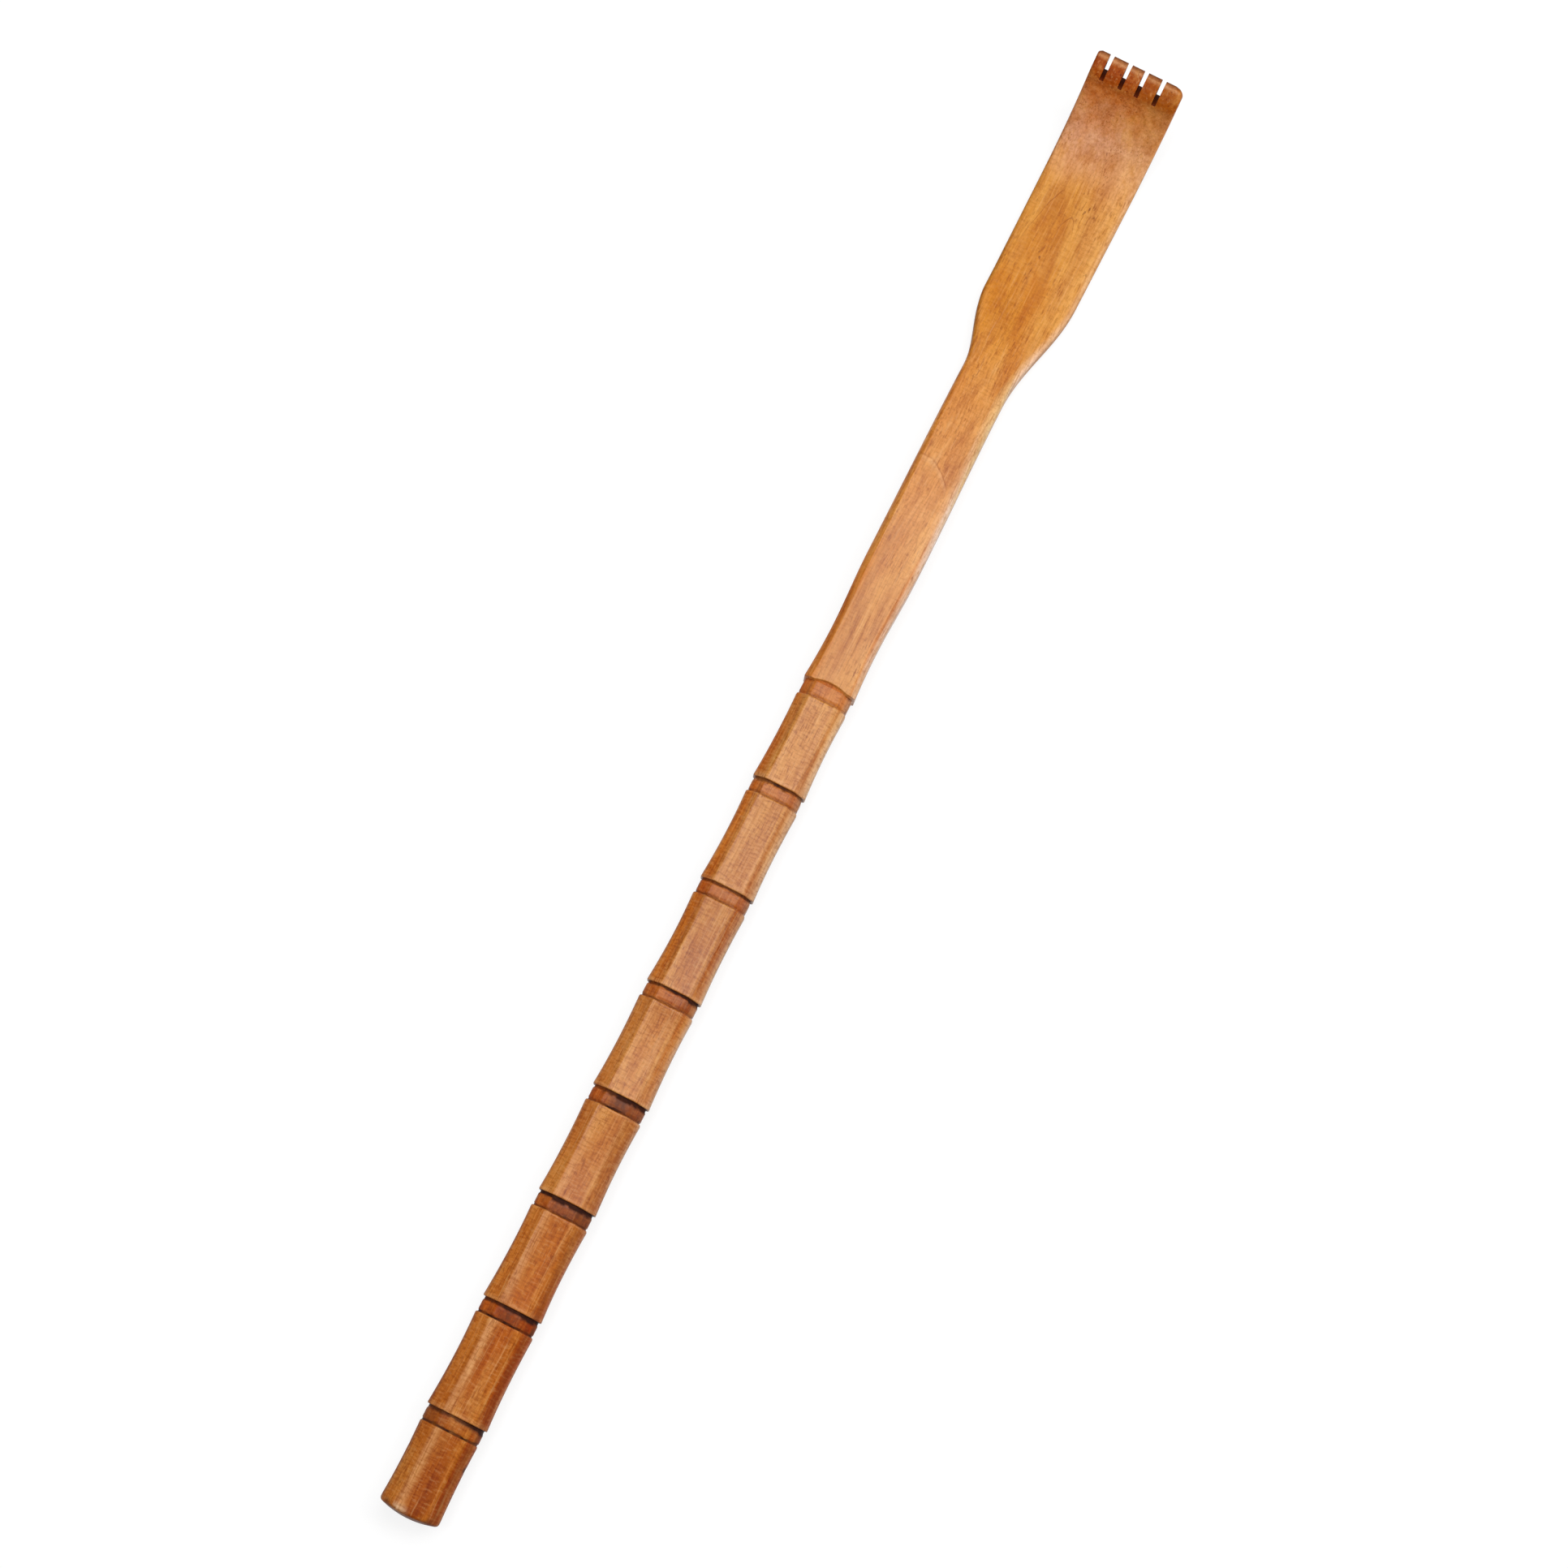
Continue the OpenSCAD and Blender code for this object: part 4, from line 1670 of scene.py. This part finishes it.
@dataclass
class ClawHead:
    """The head: neck, shoulders, paddle and five claws, one plate that thins and hooks up.

    All sizes are in millimetres, and places along it are measured from the handle's domed end.
    Rungs are the sections along it, and root rungs are those about the slots' floors, whose places
    are shares of the way to the floors and shares of the claws' length past them.
    """

    name: str = "lacquered_claw_head"
    neck_length: float = 107.7
    lip_width: float = 17.3
    lip_thick: float = 13.2
    neck_waist: tuple[float, float] = (15.9, 12.2)
    neck_waist_at: float = 18.0
    neck_swell: tuple[float, float] = (17.4, 13.0)
    neck_swell_at: float = 45.0
    throat_width: float = 17.0
    neck_bevel: float = 2.0
    right_shoulder: float = 41.0
    left_shoulder: float = 28.0
    left_shoulder_rise: float = 6.0
    paddle_length: float = 35.0
    paddle_width: float = 29.1
    claw_width: float = 30.1
    paddle_thick: float = 5.6
    hook_radius: float = 36.0
    hook_angle: float = np.radians(66.0)
    claw_length: float = 7.25
    tip_thick: float = 2.0
    tip_thinning: float = 1.7
    claw_widths: tuple[float, ...] = (3.95, 4.95, 4.3, 4.75)
    slot_width: float = 1.4
    slot_depth: float = 6.6
    right_corner: float = 2.6
    left_corner: float = 0.6
    edge_round: float = 1.0
    edge_share: float = 0.8
    bevel_power: float = 1.75
    arch_depth: float = 0.95
    arch_rise: tuple[float, float] = (1.4, 0.45)
    arch_half: float = 5.4
    arch_power: float = 0.7
    crown: float = 0.40
    crown_loss: float = 0.75
    soft_edge: float = 0.14
    soft_segments: int = 2
    soft_angle: float = np.radians(50.0)
    slot_burn_and_shade: float = 0.95
    neck_sway: float = -0.6
    neck_rungs: int = 250
    neck_density: float = 1.2
    joint_density: float = 9.0
    joint_reach: float = 1.6
    hook_rungs: int = 61
    to_root: tuple[float, ...] = (0.5, 0.9, 1.0)
    past_root: tuple[float, float] = (0.03, 0.08)
    claw_rungs: int = 18
    edge_columns: int = 7
    side_columns: int = 3
    claw_shares: tuple[float, ...] = (0.0, 0.07, 0.17, 0.32, 0.5, 0.68, 0.83, 0.93)
    slot_shares: tuple[float, ...] = (0.0, 0.33, 0.67)
    wear: HeadWearShadeAndSheen = HeadWearShadeAndSheen()
    tips: TipShadeAndHighlight = TipShadeAndHighlight()

    def __post_init__(self) -> None:
        """Take the joint and the axis from the frame."""
        self.end_y, self.joint, self.axis_z = stick_place()
        self.swell_y = self.joint + self.neck_swell_at
        self.shoulder_start = self.joint + self.neck_length
        self.shoulder_end = self.shoulder_start + self.right_shoulder
        self.left_start = self.shoulder_start + self.left_shoulder_rise
        self.hook_start = self.shoulder_end + self.paddle_length
        self.tip_y = (self.hook_start + self.hook_radius * np.sin(self.hook_angle)
                      + self.claw_length * np.cos(self.hook_angle))

    def neck_half(self, y: Array, axis: int) -> Array:
        """Half the neck's width (axis 0) or thickness (axis 1).

        A parabola falls from the lip to the slim place, and half a cosine rises to the swell.

        Args:
            y: Places along the neck.
            axis: 0 across or 1 through.

        Returns:
            The half sizes.
        """
        n = y - self.joint
        lip = (self.lip_width, self.lip_thick)[axis]
        waist, swell = self.neck_waist[axis], self.neck_swell[axis]
        hollow = waist + (lip - waist) * np.clip(1 - n / self.neck_waist_at, 0, 1) ** 2
        early = ease((n - self.neck_waist_at) / (self.neck_swell_at - self.neck_waist_at))
        rise = mix(waist, swell, early)
        size = np.where(n < self.neck_waist_at, hollow, rise)
        if axis == 0:
            late = ease((n - self.neck_swell_at) / (self.neck_length - self.neck_swell_at))
            size = np.where(n < self.neck_swell_at, size, mix(swell, self.throat_width, late))
        return size / 2

    def side_halves(self, y: Array) -> tuple[Array, Array]:
        """Half widths on the left and the right: the neck eases out to the paddle at each shoulder."""
        share = np.maximum(0, (y - self.shoulder_end) / (self.tip_y - self.shoulder_end))
        paddle = mix(self.paddle_width, self.claw_width, share) / 2
        neck = self.neck_half(y, 0)
        left = mix(neck, paddle, ease((y - self.left_start) / self.left_shoulder))
        right = mix(neck, paddle, ease((y - self.shoulder_start) / self.right_shoulder))
        return left, right

    def slope(self, y: Array) -> Array:
        """Share of the way down from the neck's swell to the thin paddle."""
        return ease((y - self.swell_y) / (self.shoulder_end - self.swell_y))

    def sway(self, y: Array) -> Array:
        """Share of the neck's sideways bow, which peaks below the shoulders and is gone at both ends."""
        rise = ease((y - self.swell_y) / (self.shoulder_start - self.swell_y))
        return rise * (1 - ease((y - self.shoulder_start) / self.right_shoulder))

    def stations(self) -> tuple[Array, Array, Array]:
        """Ladder of front and back points along the head, seen from the side.

        Along the neck the rungs are upright, round the hook they turn about its centre, and along
        the claws they stay square to them while the claws thin to their tips.

        Returns:
            Front points, back points and the distance of each rung from the tips, which is
            infinite below the claws.
        """
        def density(y: Array) -> Array:
            """Rungs per length: a low level with a peak at the joint."""
            return self.neck_density + self.joint_density * bell(y - self.joint, self.joint_reach)

        y = spaced_by_density(self.joint, self.hook_start, self.neck_rungs, density)
        half = self.neck_half(y, 1)
        slope = self.slope(y)
        front = np.stack([y, mix(self.axis_z + half, self.paddle_thick, slope)], axis=1)
        back = np.stack([y, mix(self.axis_z - half, 0.0, slope)], axis=1)
        centre = np.array([self.hook_start, self.hook_radius])
        turn = np.linspace(0, self.hook_angle, self.hook_rungs)[1:]
        spoke = np.stack([np.sin(turn), -np.cos(turn)], axis=1)
        front = np.concatenate([front, centre + (self.hook_radius - self.paddle_thick) * spoke])
        back = np.concatenate([back, centre + self.hook_radius * spoke])
        root = 1 - self.slot_depth / self.claw_length
        first, second = self.past_root
        share = np.concatenate([root * np.array(self.to_root), [root + first],
                                np.linspace(root + second, 1, self.claw_rungs)])
        ahead = np.array([np.cos(self.hook_angle), np.sin(self.hook_angle)])
        inward = np.array([-ahead[1], ahead[0]])
        claw_back = back[-1] + share[:, None] * self.claw_length * ahead
        thick = mix(self.paddle_thick, self.tip_thick, share ** self.tip_thinning)
        claw_front = claw_back + thick[:, None] * inward
        to_tip = np.concatenate([np.full(len(front), np.inf), (1 - share) * self.claw_length])
        return np.concatenate([front, claw_front]), np.concatenate([back, claw_back]), to_tip

    def slot_edges(self) -> Array:
        """X of the left and right walls of the four slots, in order."""
        starts = np.cumsum(self.claw_widths) + np.arange(len(self.claw_widths)) * self.slot_width
        starts = starts - self.claw_width / 2
        return np.stack([starts, starts + self.slot_width], axis=1).ravel()

    def flat_columns(self, low: Array, high: Array, claws: Array) -> tuple[Array, Array]:
        """X of the points across the flat face on every rung.

        The columns follow the slots' walls. Below the claws they keep their share of the width.

        Args:
            low: Left limit of the flat on each rung.
            high: Right limit of the flat on each rung.
            claws: True on the rungs of the claws.

        Returns:
            The places, one row per rung, and for each column the slot it starts or -1.
        """
        base = np.argmax(claws) - 1
        edges = self.slot_edges()
        share = (edges - low[base]) / (high[base] - low[base])
        spread = low[:, None] + share * (high - low)[:, None]
        walls = np.where(claws[:, None], edges[None, :], spread)
        anchors = np.concatenate([low[:, None], walls, high[:, None]], axis=1)
        places, slots = [], []
        for gap in range(anchors.shape[1] - 1):
            shares = np.array(self.slot_shares if gap % 2 else self.claw_shares)
            places.append(mix(anchors[:, gap, None], anchors[:, gap + 1, None], shares))
            slots += [gap // 2 if gap % 2 else -1] * len(shares)
        places.append(anchors[:, -1:])
        return np.concatenate(places, axis=1), np.array(slots + [-1])

    def arch_bow(self, x: Array) -> Array:
        """Bow of the pared crescent: 1 in the middle, falling with the square of the distance to 0."""
        return np.clip(1 - (x / self.arch_half) ** 2, 0, 1)

    def arch(self, x: Array, n: Array) -> Array:
        """Depth of the crescent that is pared off the neck's foot, above the first groove.

        The crescent reaches highest in the middle, and its depth falls evenly up to its edge.

        Args:
            x: Places across.
            n: Distances above the joint.

        Returns:
            The depth under the front face.
        """
        top = mix(self.arch_rise[1], self.arch_rise[0], self.arch_bow(x))
        return self.arch_depth * np.clip(1 - n / top, 0, 1) ** self.arch_power

    def build(self) -> bpy.types.Object:
        """Carry the section along the ladder, saw the slots and close the ends.

        A section is a flat front and back, four edges that go from a straight bevel on the neck
        to a round one on the paddle, and two sides.

        Returns:
            The head.
        """
        front, back, to_tip = self.stations()
        middle = (front + back) / 2
        across = front - back
        half = np.linalg.norm(across, axis=1) / 2
        up = across / (2 * half[:, None])
        y = middle[:, 0]
        left, right = self.side_halves(y)
        left = left - round_over(to_tip, self.left_corner)
        right = right - round_over(to_tip, self.right_corner)
        slope = self.slope(y)
        leg = np.minimum(mix(self.neck_bevel, self.edge_round, slope), self.edge_share * half)
        power = mix(self.bevel_power, 1.0, slope)[:, None]
        claws = np.isfinite(to_tip)
        flat, slots = self.flat_columns(leg - left, right - leg, claws)
        n = (y - self.joint)[:, None]
        bulge = (2 * flat / (left + right)[:, None]) ** 2
        pared = self.arch(flat, n) + self.crown * (1 - self.crown_loss * slope[:, None]) * bulge
        foot = self.arch_depth * np.clip(1 - n / self.arch_rise[1], 0, 1)
        turn = np.linspace(0, np.pi / 2, self.edge_columns + 1)[None, 1:]
        out, fall = np.sin(turn) ** power, np.cos(turn) ** power
        rise = (half - leg)[:, None]
        edge_z = rise + leg[:, None] * fall - foot
        front_z = edge_z - (pared[:, -1:] - foot) * fall
        edge_r = (right - leg)[:, None] + leg[:, None] * out - foot * out
        edge_l = (left - leg)[:, None] + leg[:, None] * out - foot * out
        down = np.linspace(1, -1, self.side_columns + 2)[None, 1:-1]
        side_z = (rise - foot) * down
        side = np.ones_like(down)
        right_x = (right[:, None] - foot) * side
        left_x = (left[:, None] - foot) * side
        x = np.concatenate([flat, edge_r, right_x, edge_r[:, ::-1], flat[:, ::-1],
                            -edge_l, -left_x, -edge_l[:, ::-1]], axis=1)
        top = np.broadcast_to(half[:, None], flat.shape)
        z = np.concatenate([top - pared, front_z, side_z, -edge_z[:, ::-1], foot - top,
                            -edge_z, -side_z, front_z[:, ::-1]], axis=1)
        yz = middle[:, None, :] + z[:, :, None] * up[:, None, :]
        x = x + (self.neck_sway * self.sway(y))[:, None]
        points = np.concatenate([x[:, :, None], yz], axis=2)
        points[:, :, 1] += self.end_y
        faces, sawn, tips = self.faces(points.shape, slots, to_tip)
        head = new_piece(self.name, points.reshape(-1, 3), faces)
        # Slots painted near black: saw burn and painted shade.
        paint(head, Stain.SLOT, sawn * self.slot_burn_and_shade, "FACE")
        paint(head, Stain.TIP, tips, "FACE")
        soften = head.modifiers.new("soft_edges", "BEVEL")
        soften.width = self.soft_edge * MM
        soften.segments = self.soft_segments
        soften.limit_method = "ANGLE"
        soften.angle_limit = self.soft_angle
        return head

    def faces(self, shape: tuple[int, ...], slots: Array, to_tip: Array) -> tuple[Faces, Array, Array]:
        """Faces of the head: the rings without the slots, the slots' walls, and the ends.

        Args:
            shape: Rungs, columns and 3.
            slots: For each flat column the slot it starts or -1.
            to_tip: Distance of each rung from the tips.

        Returns:
            Lists of point numbers, for each face 1 if it is in a slot or 0, and the same for the tips.
        """
        rungs, columns = shape[:2]
        flats = len(slots)
        gap = self.side_columns + 2 * self.edge_columns
        front = np.arange(flats)
        back = flats + gap + np.arange(flats)[::-1]
        index = np.arange(rungs * columns).reshape(rungs, columns)
        root = int(np.argmin(np.abs(to_tip - self.slot_depth)))
        sawn = np.zeros((rungs - 1, columns), dtype=bool)
        open_columns = np.flatnonzero(slots >= 0)
        sawn[root:, open_columns] = True
        sawn[root:, back[open_columns + 1]] = True
        faces = ring_quads(rungs, columns)[~sawn].tolist()
        skin = len(faces)
        for slot in range(len(self.claw_widths)):
            cells = np.flatnonzero(slots == slot)
            floor = np.append(cells, cells[-1] + 1)
            row = index[root]
            faces += np.stack([row[front[floor[:-1]]], row[front[floor[1:]]],
                               row[back[floor[1:]]], row[back[floor[:-1]]]], axis=1).tolist()
            for wall in (floor[0], floor[-1]):
                f, b = index[root:, front[wall]], index[root:, back[wall]]
                faces += np.stack([f[:-1], f[1:], b[1:], b[:-1]], axis=1).tolist()
        cut = len(faces)
        faces.append(index[0].tolist())
        starts = np.flatnonzero((slots >= 0) & (np.roll(slots, 1) < 0))
        stops = np.flatnonzero((slots < 0) & (np.roll(slots, 1) >= 0))
        last = index[-1]
        first_claws = zip(stops[:-1], starts[1:])
        for low, high in first_claws:
            claw = np.concatenate([last[front[low:high + 1]], last[back[low:high + 1][::-1]]])
            faces.append(claw.tolist())
        inner = np.concatenate([last[back[:starts[0] + 1][::-1]], last[back[0] + 1:],
                                last[front[:starts[0] + 1]]])
        outer = np.concatenate([last[front[stops[-1]:]], last[flats:flats + gap],
                                last[back[stops[-1]:][::-1]]])
        faces += [inner.tolist(), outer.tolist()]
        number = np.arange(len(faces))
        return faces, ((number >= skin) & (number < cut)).astype(float), (number > cut).astype(float)

    def wear_and_sheen(self, x: Array, y: Array) -> Array:
        """Painted sheen on the right edge: a pale band that narrows from the neck to the paddle.

        Args:
            x: Places across.
            y: Places from the handle's domed end.

        Returns:
            The sheen, from 0 to 1.
        """
        n = y - self.joint
        _, right = self.side_halves(y)
        right = right + self.neck_sway * self.sway(y)
        past = x - right + self.wear.sheen_width.at(n)
        return self.wear.wear_and_sheen.at(n) * self.wear.sheen_edge.at(past)

    def tone_and_shading(self, x: Array, y: Array) -> Array:
        """How golden (above 0) or how dark (below 0) the neck is painted.

        It is dark on the left bevel of the foot and golden above that, up to the shoulders. A dark
        seam runs along the right bevel of the foot.

        Args:
            x: Places across.
            y: Places from the handle's domed end.

        Returns:
            The tone.
        """
        wear = self.wear
        n = y - self.joint
        _, right = self.side_halves(y)
        seam = bell(right - x - wear.seam_in, wear.seam_width) * wear.seam.at(n)
        gold = wear.gold.at(x, n) * (1 - ease((y - self.left_start) / self.left_shoulder))
        return seam + wear.foot.at(x, n) + gold

    def tip_edges(self, y: Array, z: Array) -> tuple[Array, Array]:
        """Painted shade on the far edge of the claws' ends and a painted highlight on the near edge.

        The distance back from the tips and the depth through a claw are measured along and across
        the claws' direction.

        Args:
            y: Places from the handle's domed end.
            z: Heights.

        Returns:
            The painted shade and the painted highlight on the claws' ends, from 0 to 1.
        """
        tips = self.tips
        ahead = (np.cos(self.hook_angle), np.sin(self.hook_angle))
        reach = y * ahead[0] + z * ahead[1]
        to_tip = reach.max() - reach
        depth = z * ahead[0] - y * ahead[1]
        depth = depth - depth[to_tip < tips.end_slack].min()
        dark = tips.dark_reach.at(to_tip) * tips.dark_depth.at(depth)
        return dark, tips.pale_reach.at(to_tip) * tips.pale_depth.at(depth)

    def dress(self, head: bpy.types.Object, finish: LacqueredWood) -> None:
        """Paint the foot, the painted shade on the shoulder, the painted shade and highlight on the
        claws' ends, and the wear with painted sheen and highlights, and lacquer the head.

        Args:
            head: The head's object.
            finish: Its wood.
        """
        x, y, z = points_of(head).T
        y = y - self.end_y
        n = y - self.joint
        wear = self.wear
        left, right = self.side_halves(y)
        front = ease((z - self.axis_z + wear.front_soft) / wear.front_soft + self.slope(y))
        bow = self.arch_bow(x)
        top = mix(self.arch_rise[1], self.arch_rise[0], bow * (z > self.axis_z))
        # Painted shade and a painted highlight on the claws' ends.
        tip_shade, tip_highlight = self.tip_edges(y, z)
        # Painted shade on the left shoulder's edge.
        shoulder = wear.shoulder_edge.at(left + x) * wear.shoulder.at(n)
        # Painted highlight on the outer edges.
        rim = wear.rim.at(x - self.neck_sway * self.sway(y), n, left, right)
        stains = {
            Stain.GROOVE: wear.pared.at(n - top) * mix(wear.pared_side, 1.0, bow),
            Stain.LINE: wear.pared_line.at(n - top) * bow,
            Stain.SOOT_AND_SHADE: np.maximum(tip_shade, shoulder * front),
            Stain.WEAR_AND_SHEEN: np.maximum(self.wear_and_sheen(x, y) * front, tip_highlight),
            Stain.TONE_AND_SHADING: self.tone_and_shading(x, y) * front,
            Stain.RIM_HIGHLIGHT: rim * front,
        }
        for stain, values in stains.items():
            paint(head, stain, values)
        head.data.materials.append(finish.material())
        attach(head, BODY)
        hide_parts("claw_head")


@dataclass(frozen=True)
class SoftBox:
    """A rectangular soft light. Lengths are in metres.

    Attributes:
        name: Name of the light.
        middle: Its middle, across and along, or along and up for a window.
        size: Its sides, in the same order.
        level: Brightness of its face, where 1 is white.
    """

    name: str
    middle: tuple[float, float]
    size: tuple[float, float]
    level: float


@dataclass
class Studio:
    """Pale floor, soft boxes round the lens, a window on the right, and the camera.

    The boxes hang at the height of the lens and face down, and their places along are measured from it.
    Lengths are in metres, and a lamp's watts are those of a square metre whose face is white.
    """

    sensor: float = 36.0
    lens: float = 86.5
    distance: float = 1.150
    tilt: float = np.radians(11.0)
    lean: float = np.radians(2.5)
    turn: float = np.radians(27.07)
    aim: tuple[float, float, float] = (0.00107, -0.00325, 0.013)
    floor_half: float = 4.0
    ceiling_way: tuple[float, float, float] = (0.0, 0.10, 1.0)
    ceiling_power: float = 3.0
    ceiling_level: float = 0.15
    wall_level: float = 0.06
    seen_level: float = 0.98
    clip_end: float = 50.0
    lamp_watts: float = 4.0
    boxes: tuple[SoftBox, ...] = (
        SoftBox("head_box", (-0.085, 0.61), (0.73, 0.74), 3.2),
        SoftBox("left_box", (-0.48, -0.10), (0.52, 0.60), 3.4),
        SoftBox("right_head_box", (0.62, 0.70), (0.56, 0.60), 4.5),
        SoftBox("handle_box", (0.0, -0.625), (0.60, 0.45), 2.0),
    )
    window: SoftBox = SoftBox("window", (0.3, 0.31), (0.6, 0.58), 2.0)
    window_x: float = 0.9

    def floor(self) -> None:
        """A square of floor under the scratcher."""
        corners = np.array([[-1, -1, 0], [1, -1, 0], [1, 1, 0], [-1, 1, 0]]) * self.floor_half / MM
        floor = new_piece("floor", corners, [[0, 1, 2, 3]])
        floor.data.materials.append(PaleFloor().material())

    @staticmethod
    def hang(name: str, size: Sequence[float], place: Sequence[float], watts: float) -> bpy.types.Object:
        """Hang a light that faces down and that the camera doesn't see.

        Args:
            name: Name of the light.
            size: Its sides along X and Y.
            place: Its middle.
            watts: Its power for each square metre.

        Returns:
            The light's object.
        """
        lamp = bpy.data.lights.new(name, "AREA")
        lamp.shape = "RECTANGLE"
        lamp.size, lamp.size_y = size
        lamp.energy = watts * size[0] * size[1]
        light = bpy.data.objects.new(name, lamp)
        light.location = place
        light.visible_camera = False
        bpy.context.scene.collection.objects.link(light)
        return light

    def lights(self) -> None:
        """Hang the boxes at the height of the lens, and the window at the right."""
        lens = self.lens_place()
        for box in self.boxes:
            across, along = box.middle
            place = (across, lens.y + along, lens.z)
            self.hang(box.name, box.size, place, self.lamp_watts * box.level)
        window = self.window
        place = (self.window_x, *window.middle)
        light = self.hang(window.name, window.size[::-1], place, self.lamp_watts * window.level)
        light.rotation_euler = (0.0, np.pi / 2, 0.0)

    def room(self) -> None:
        """A white room that brightens towards its ceiling, which the camera sees as even white.

        The brightness is a low level plus the power of the cosine from the ceiling light.
        """
        world = bpy.data.worlds.new("room")
        world.use_nodes = True
        graph = Graph(world.node_tree)
        way = graph.node("ShaderNodeTexCoord", {}, {})["Generated"]
        toward = Vector(self.ceiling_way).normalized()
        given = {0: way, 1: toward}
        cosine = graph.node("ShaderNodeVectorMath", {"operation": "DOT_PRODUCT"}, given)["Value"]
        level = cosine.math("MAXIMUM", 0.0) ** self.ceiling_power * self.ceiling_level + self.wall_level
        ray = graph.node("ShaderNodeLightPath", {}, {})["Is Camera Ray"]
        strength = level + ray * (self.seen_level - level)
        given = {"Color": (1.0, 1.0, 1.0, 1.0), "Strength": strength}
        glow = graph.node("ShaderNodeBackground", {}, given)
        graph.node("ShaderNodeOutputWorld", {}, {"Surface": glow["Background"]})
        bpy.context.scene.world = world

    def sight(self) -> Vector:
        """Direction from the aim to the lens."""
        across = np.cos(self.lean)
        return Vector((np.sin(self.lean), -np.sin(self.tilt) * across, np.cos(self.tilt) * across))

    def lens_place(self) -> Vector:
        """Place of the lens."""
        return Vector(self.aim) + self.distance * self.sight()

    def camera(self) -> None:
        """A long lens over the handle's end, turned so that the head points up and right."""
        eye = bpy.data.cameras.new("camera")
        eye.sensor_width = self.sensor
        eye.sensor_fit = "HORIZONTAL"
        eye.lens = self.lens
        eye.clip_end = self.clip_end
        camera = bpy.data.objects.new("camera", eye)
        back = self.sight()
        along = Vector((0.0, 1.0, 0.0))
        level = (along - along.dot(back) * back).normalized()
        up = Matrix.Rotation(self.turn, 3, back) @ level
        right = up.cross(back)
        facing = Matrix((right, up, back)).transposed().to_4x4()
        camera.matrix_world = Matrix.Translation(self.lens_place()) @ facing
        bpy.context.scene.collection.objects.link(camera)
        bpy.context.scene.camera = camera

    def build(self) -> None:
        """Set the stage."""
        bpy.context.scene.view_settings.view_transform = "Standard"
        self.floor()
        self.room()
        self.lights()
        self.camera()


def wood_tones() -> tuple[tuple[float, Colour], ...]:
    """Colours of the lacquered wood by their place from the handle's end in millimetres, with a painted
    sheen on the hook.
    """
    return (
        (10.0, (0.415, 0.106, 0.006)),
        (75.0, (0.515, 0.141, 0.007)),
        (157.0, (0.60, 0.222, 0.042)),
        (193.0, (0.485, 0.156, 0.021)),
        (258.0, (0.62, 0.251, 0.052)),
        (376.0, (0.70, 0.283, 0.058)),
        (418.0, (0.69, 0.277, 0.020)),
        (457.0, (0.67, 0.291, 0.046)),
        # The stops at 478 and 484 mm paint a pale sheen on the hook's inner face.
        (478.0, (0.685, 0.326, 0.164)),
        (484.0, (0.685, 0.282, 0.116)),
        (491.0, (0.68, 0.194, 0.028)),
    )


def head_arches() -> tuple[GrowthArch, ...]:
    """Arches on the head: one on the neck, whose line and lip paint the shade and highlight of a carved
    step, and two growth arches on the paddle.
    """
    return (
        # Its line and lip paint the shade and highlight of a carved step.
        GrowthArch(x=-6.6, y=360.2, bow=0.064, reach=12.0, line=0.70, lip=0.22, waver=0.8, low=10.5),
        GrowthArch(x=-4.6, y=460.5, bow=0.45, reach=9.0, line=1.0, heart=1.0, waver=3.0, right=-0.6),
        GrowthArch(x=0.3, y=453.0, bow=0.90, reach=4.2, line=0.80, heart=0.35, waver=2.5),
    )


def main() -> None:
    """Set the stage, build each piece and dress it."""
    logging.basicConfig(level=logging.INFO, format="%(name)s: %(message)s")
    Studio().build()
    handle, head = BambooHandle(), ClawHead()
    place = {"stick_end": handle.end_y, "stick_length": head.tip_y, "tones": wood_tones()}

    handle_piece = handle.build()
    handle_wood = LacqueredWood("lacquered_handle_wood", figure=0.22, chatter=0.50, **place)
    handle.dress(handle_piece, handle_wood)
    LOG.info("handle: %d points", len(handle_piece.data.vertices))

    head_piece = head.build()
    # Its pale colours paint the sheen on the right edge and the highlight on the outer edges.
    head_wood = LacqueredWood("lacquered_head_wood", right_light=0.40, chatter=0.22, arches=head_arches(),
                              wear_and_sheen=(0.86, 0.54, 0.29), rim=(0.93, 0.79, 0.74), **place)
    head.dress(head_piece, head_wood)
    LOG.info("claw head: %d points", len(head_piece.data.vertices))

    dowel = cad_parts["joint_dowel"]
    dowel.data.materials.clear()
    dowel.data.materials.append(RawBeech().material())
    LOG.info("dowel: %d points", len(dowel.data.vertices))


if __name__ == "__main__":
    main()
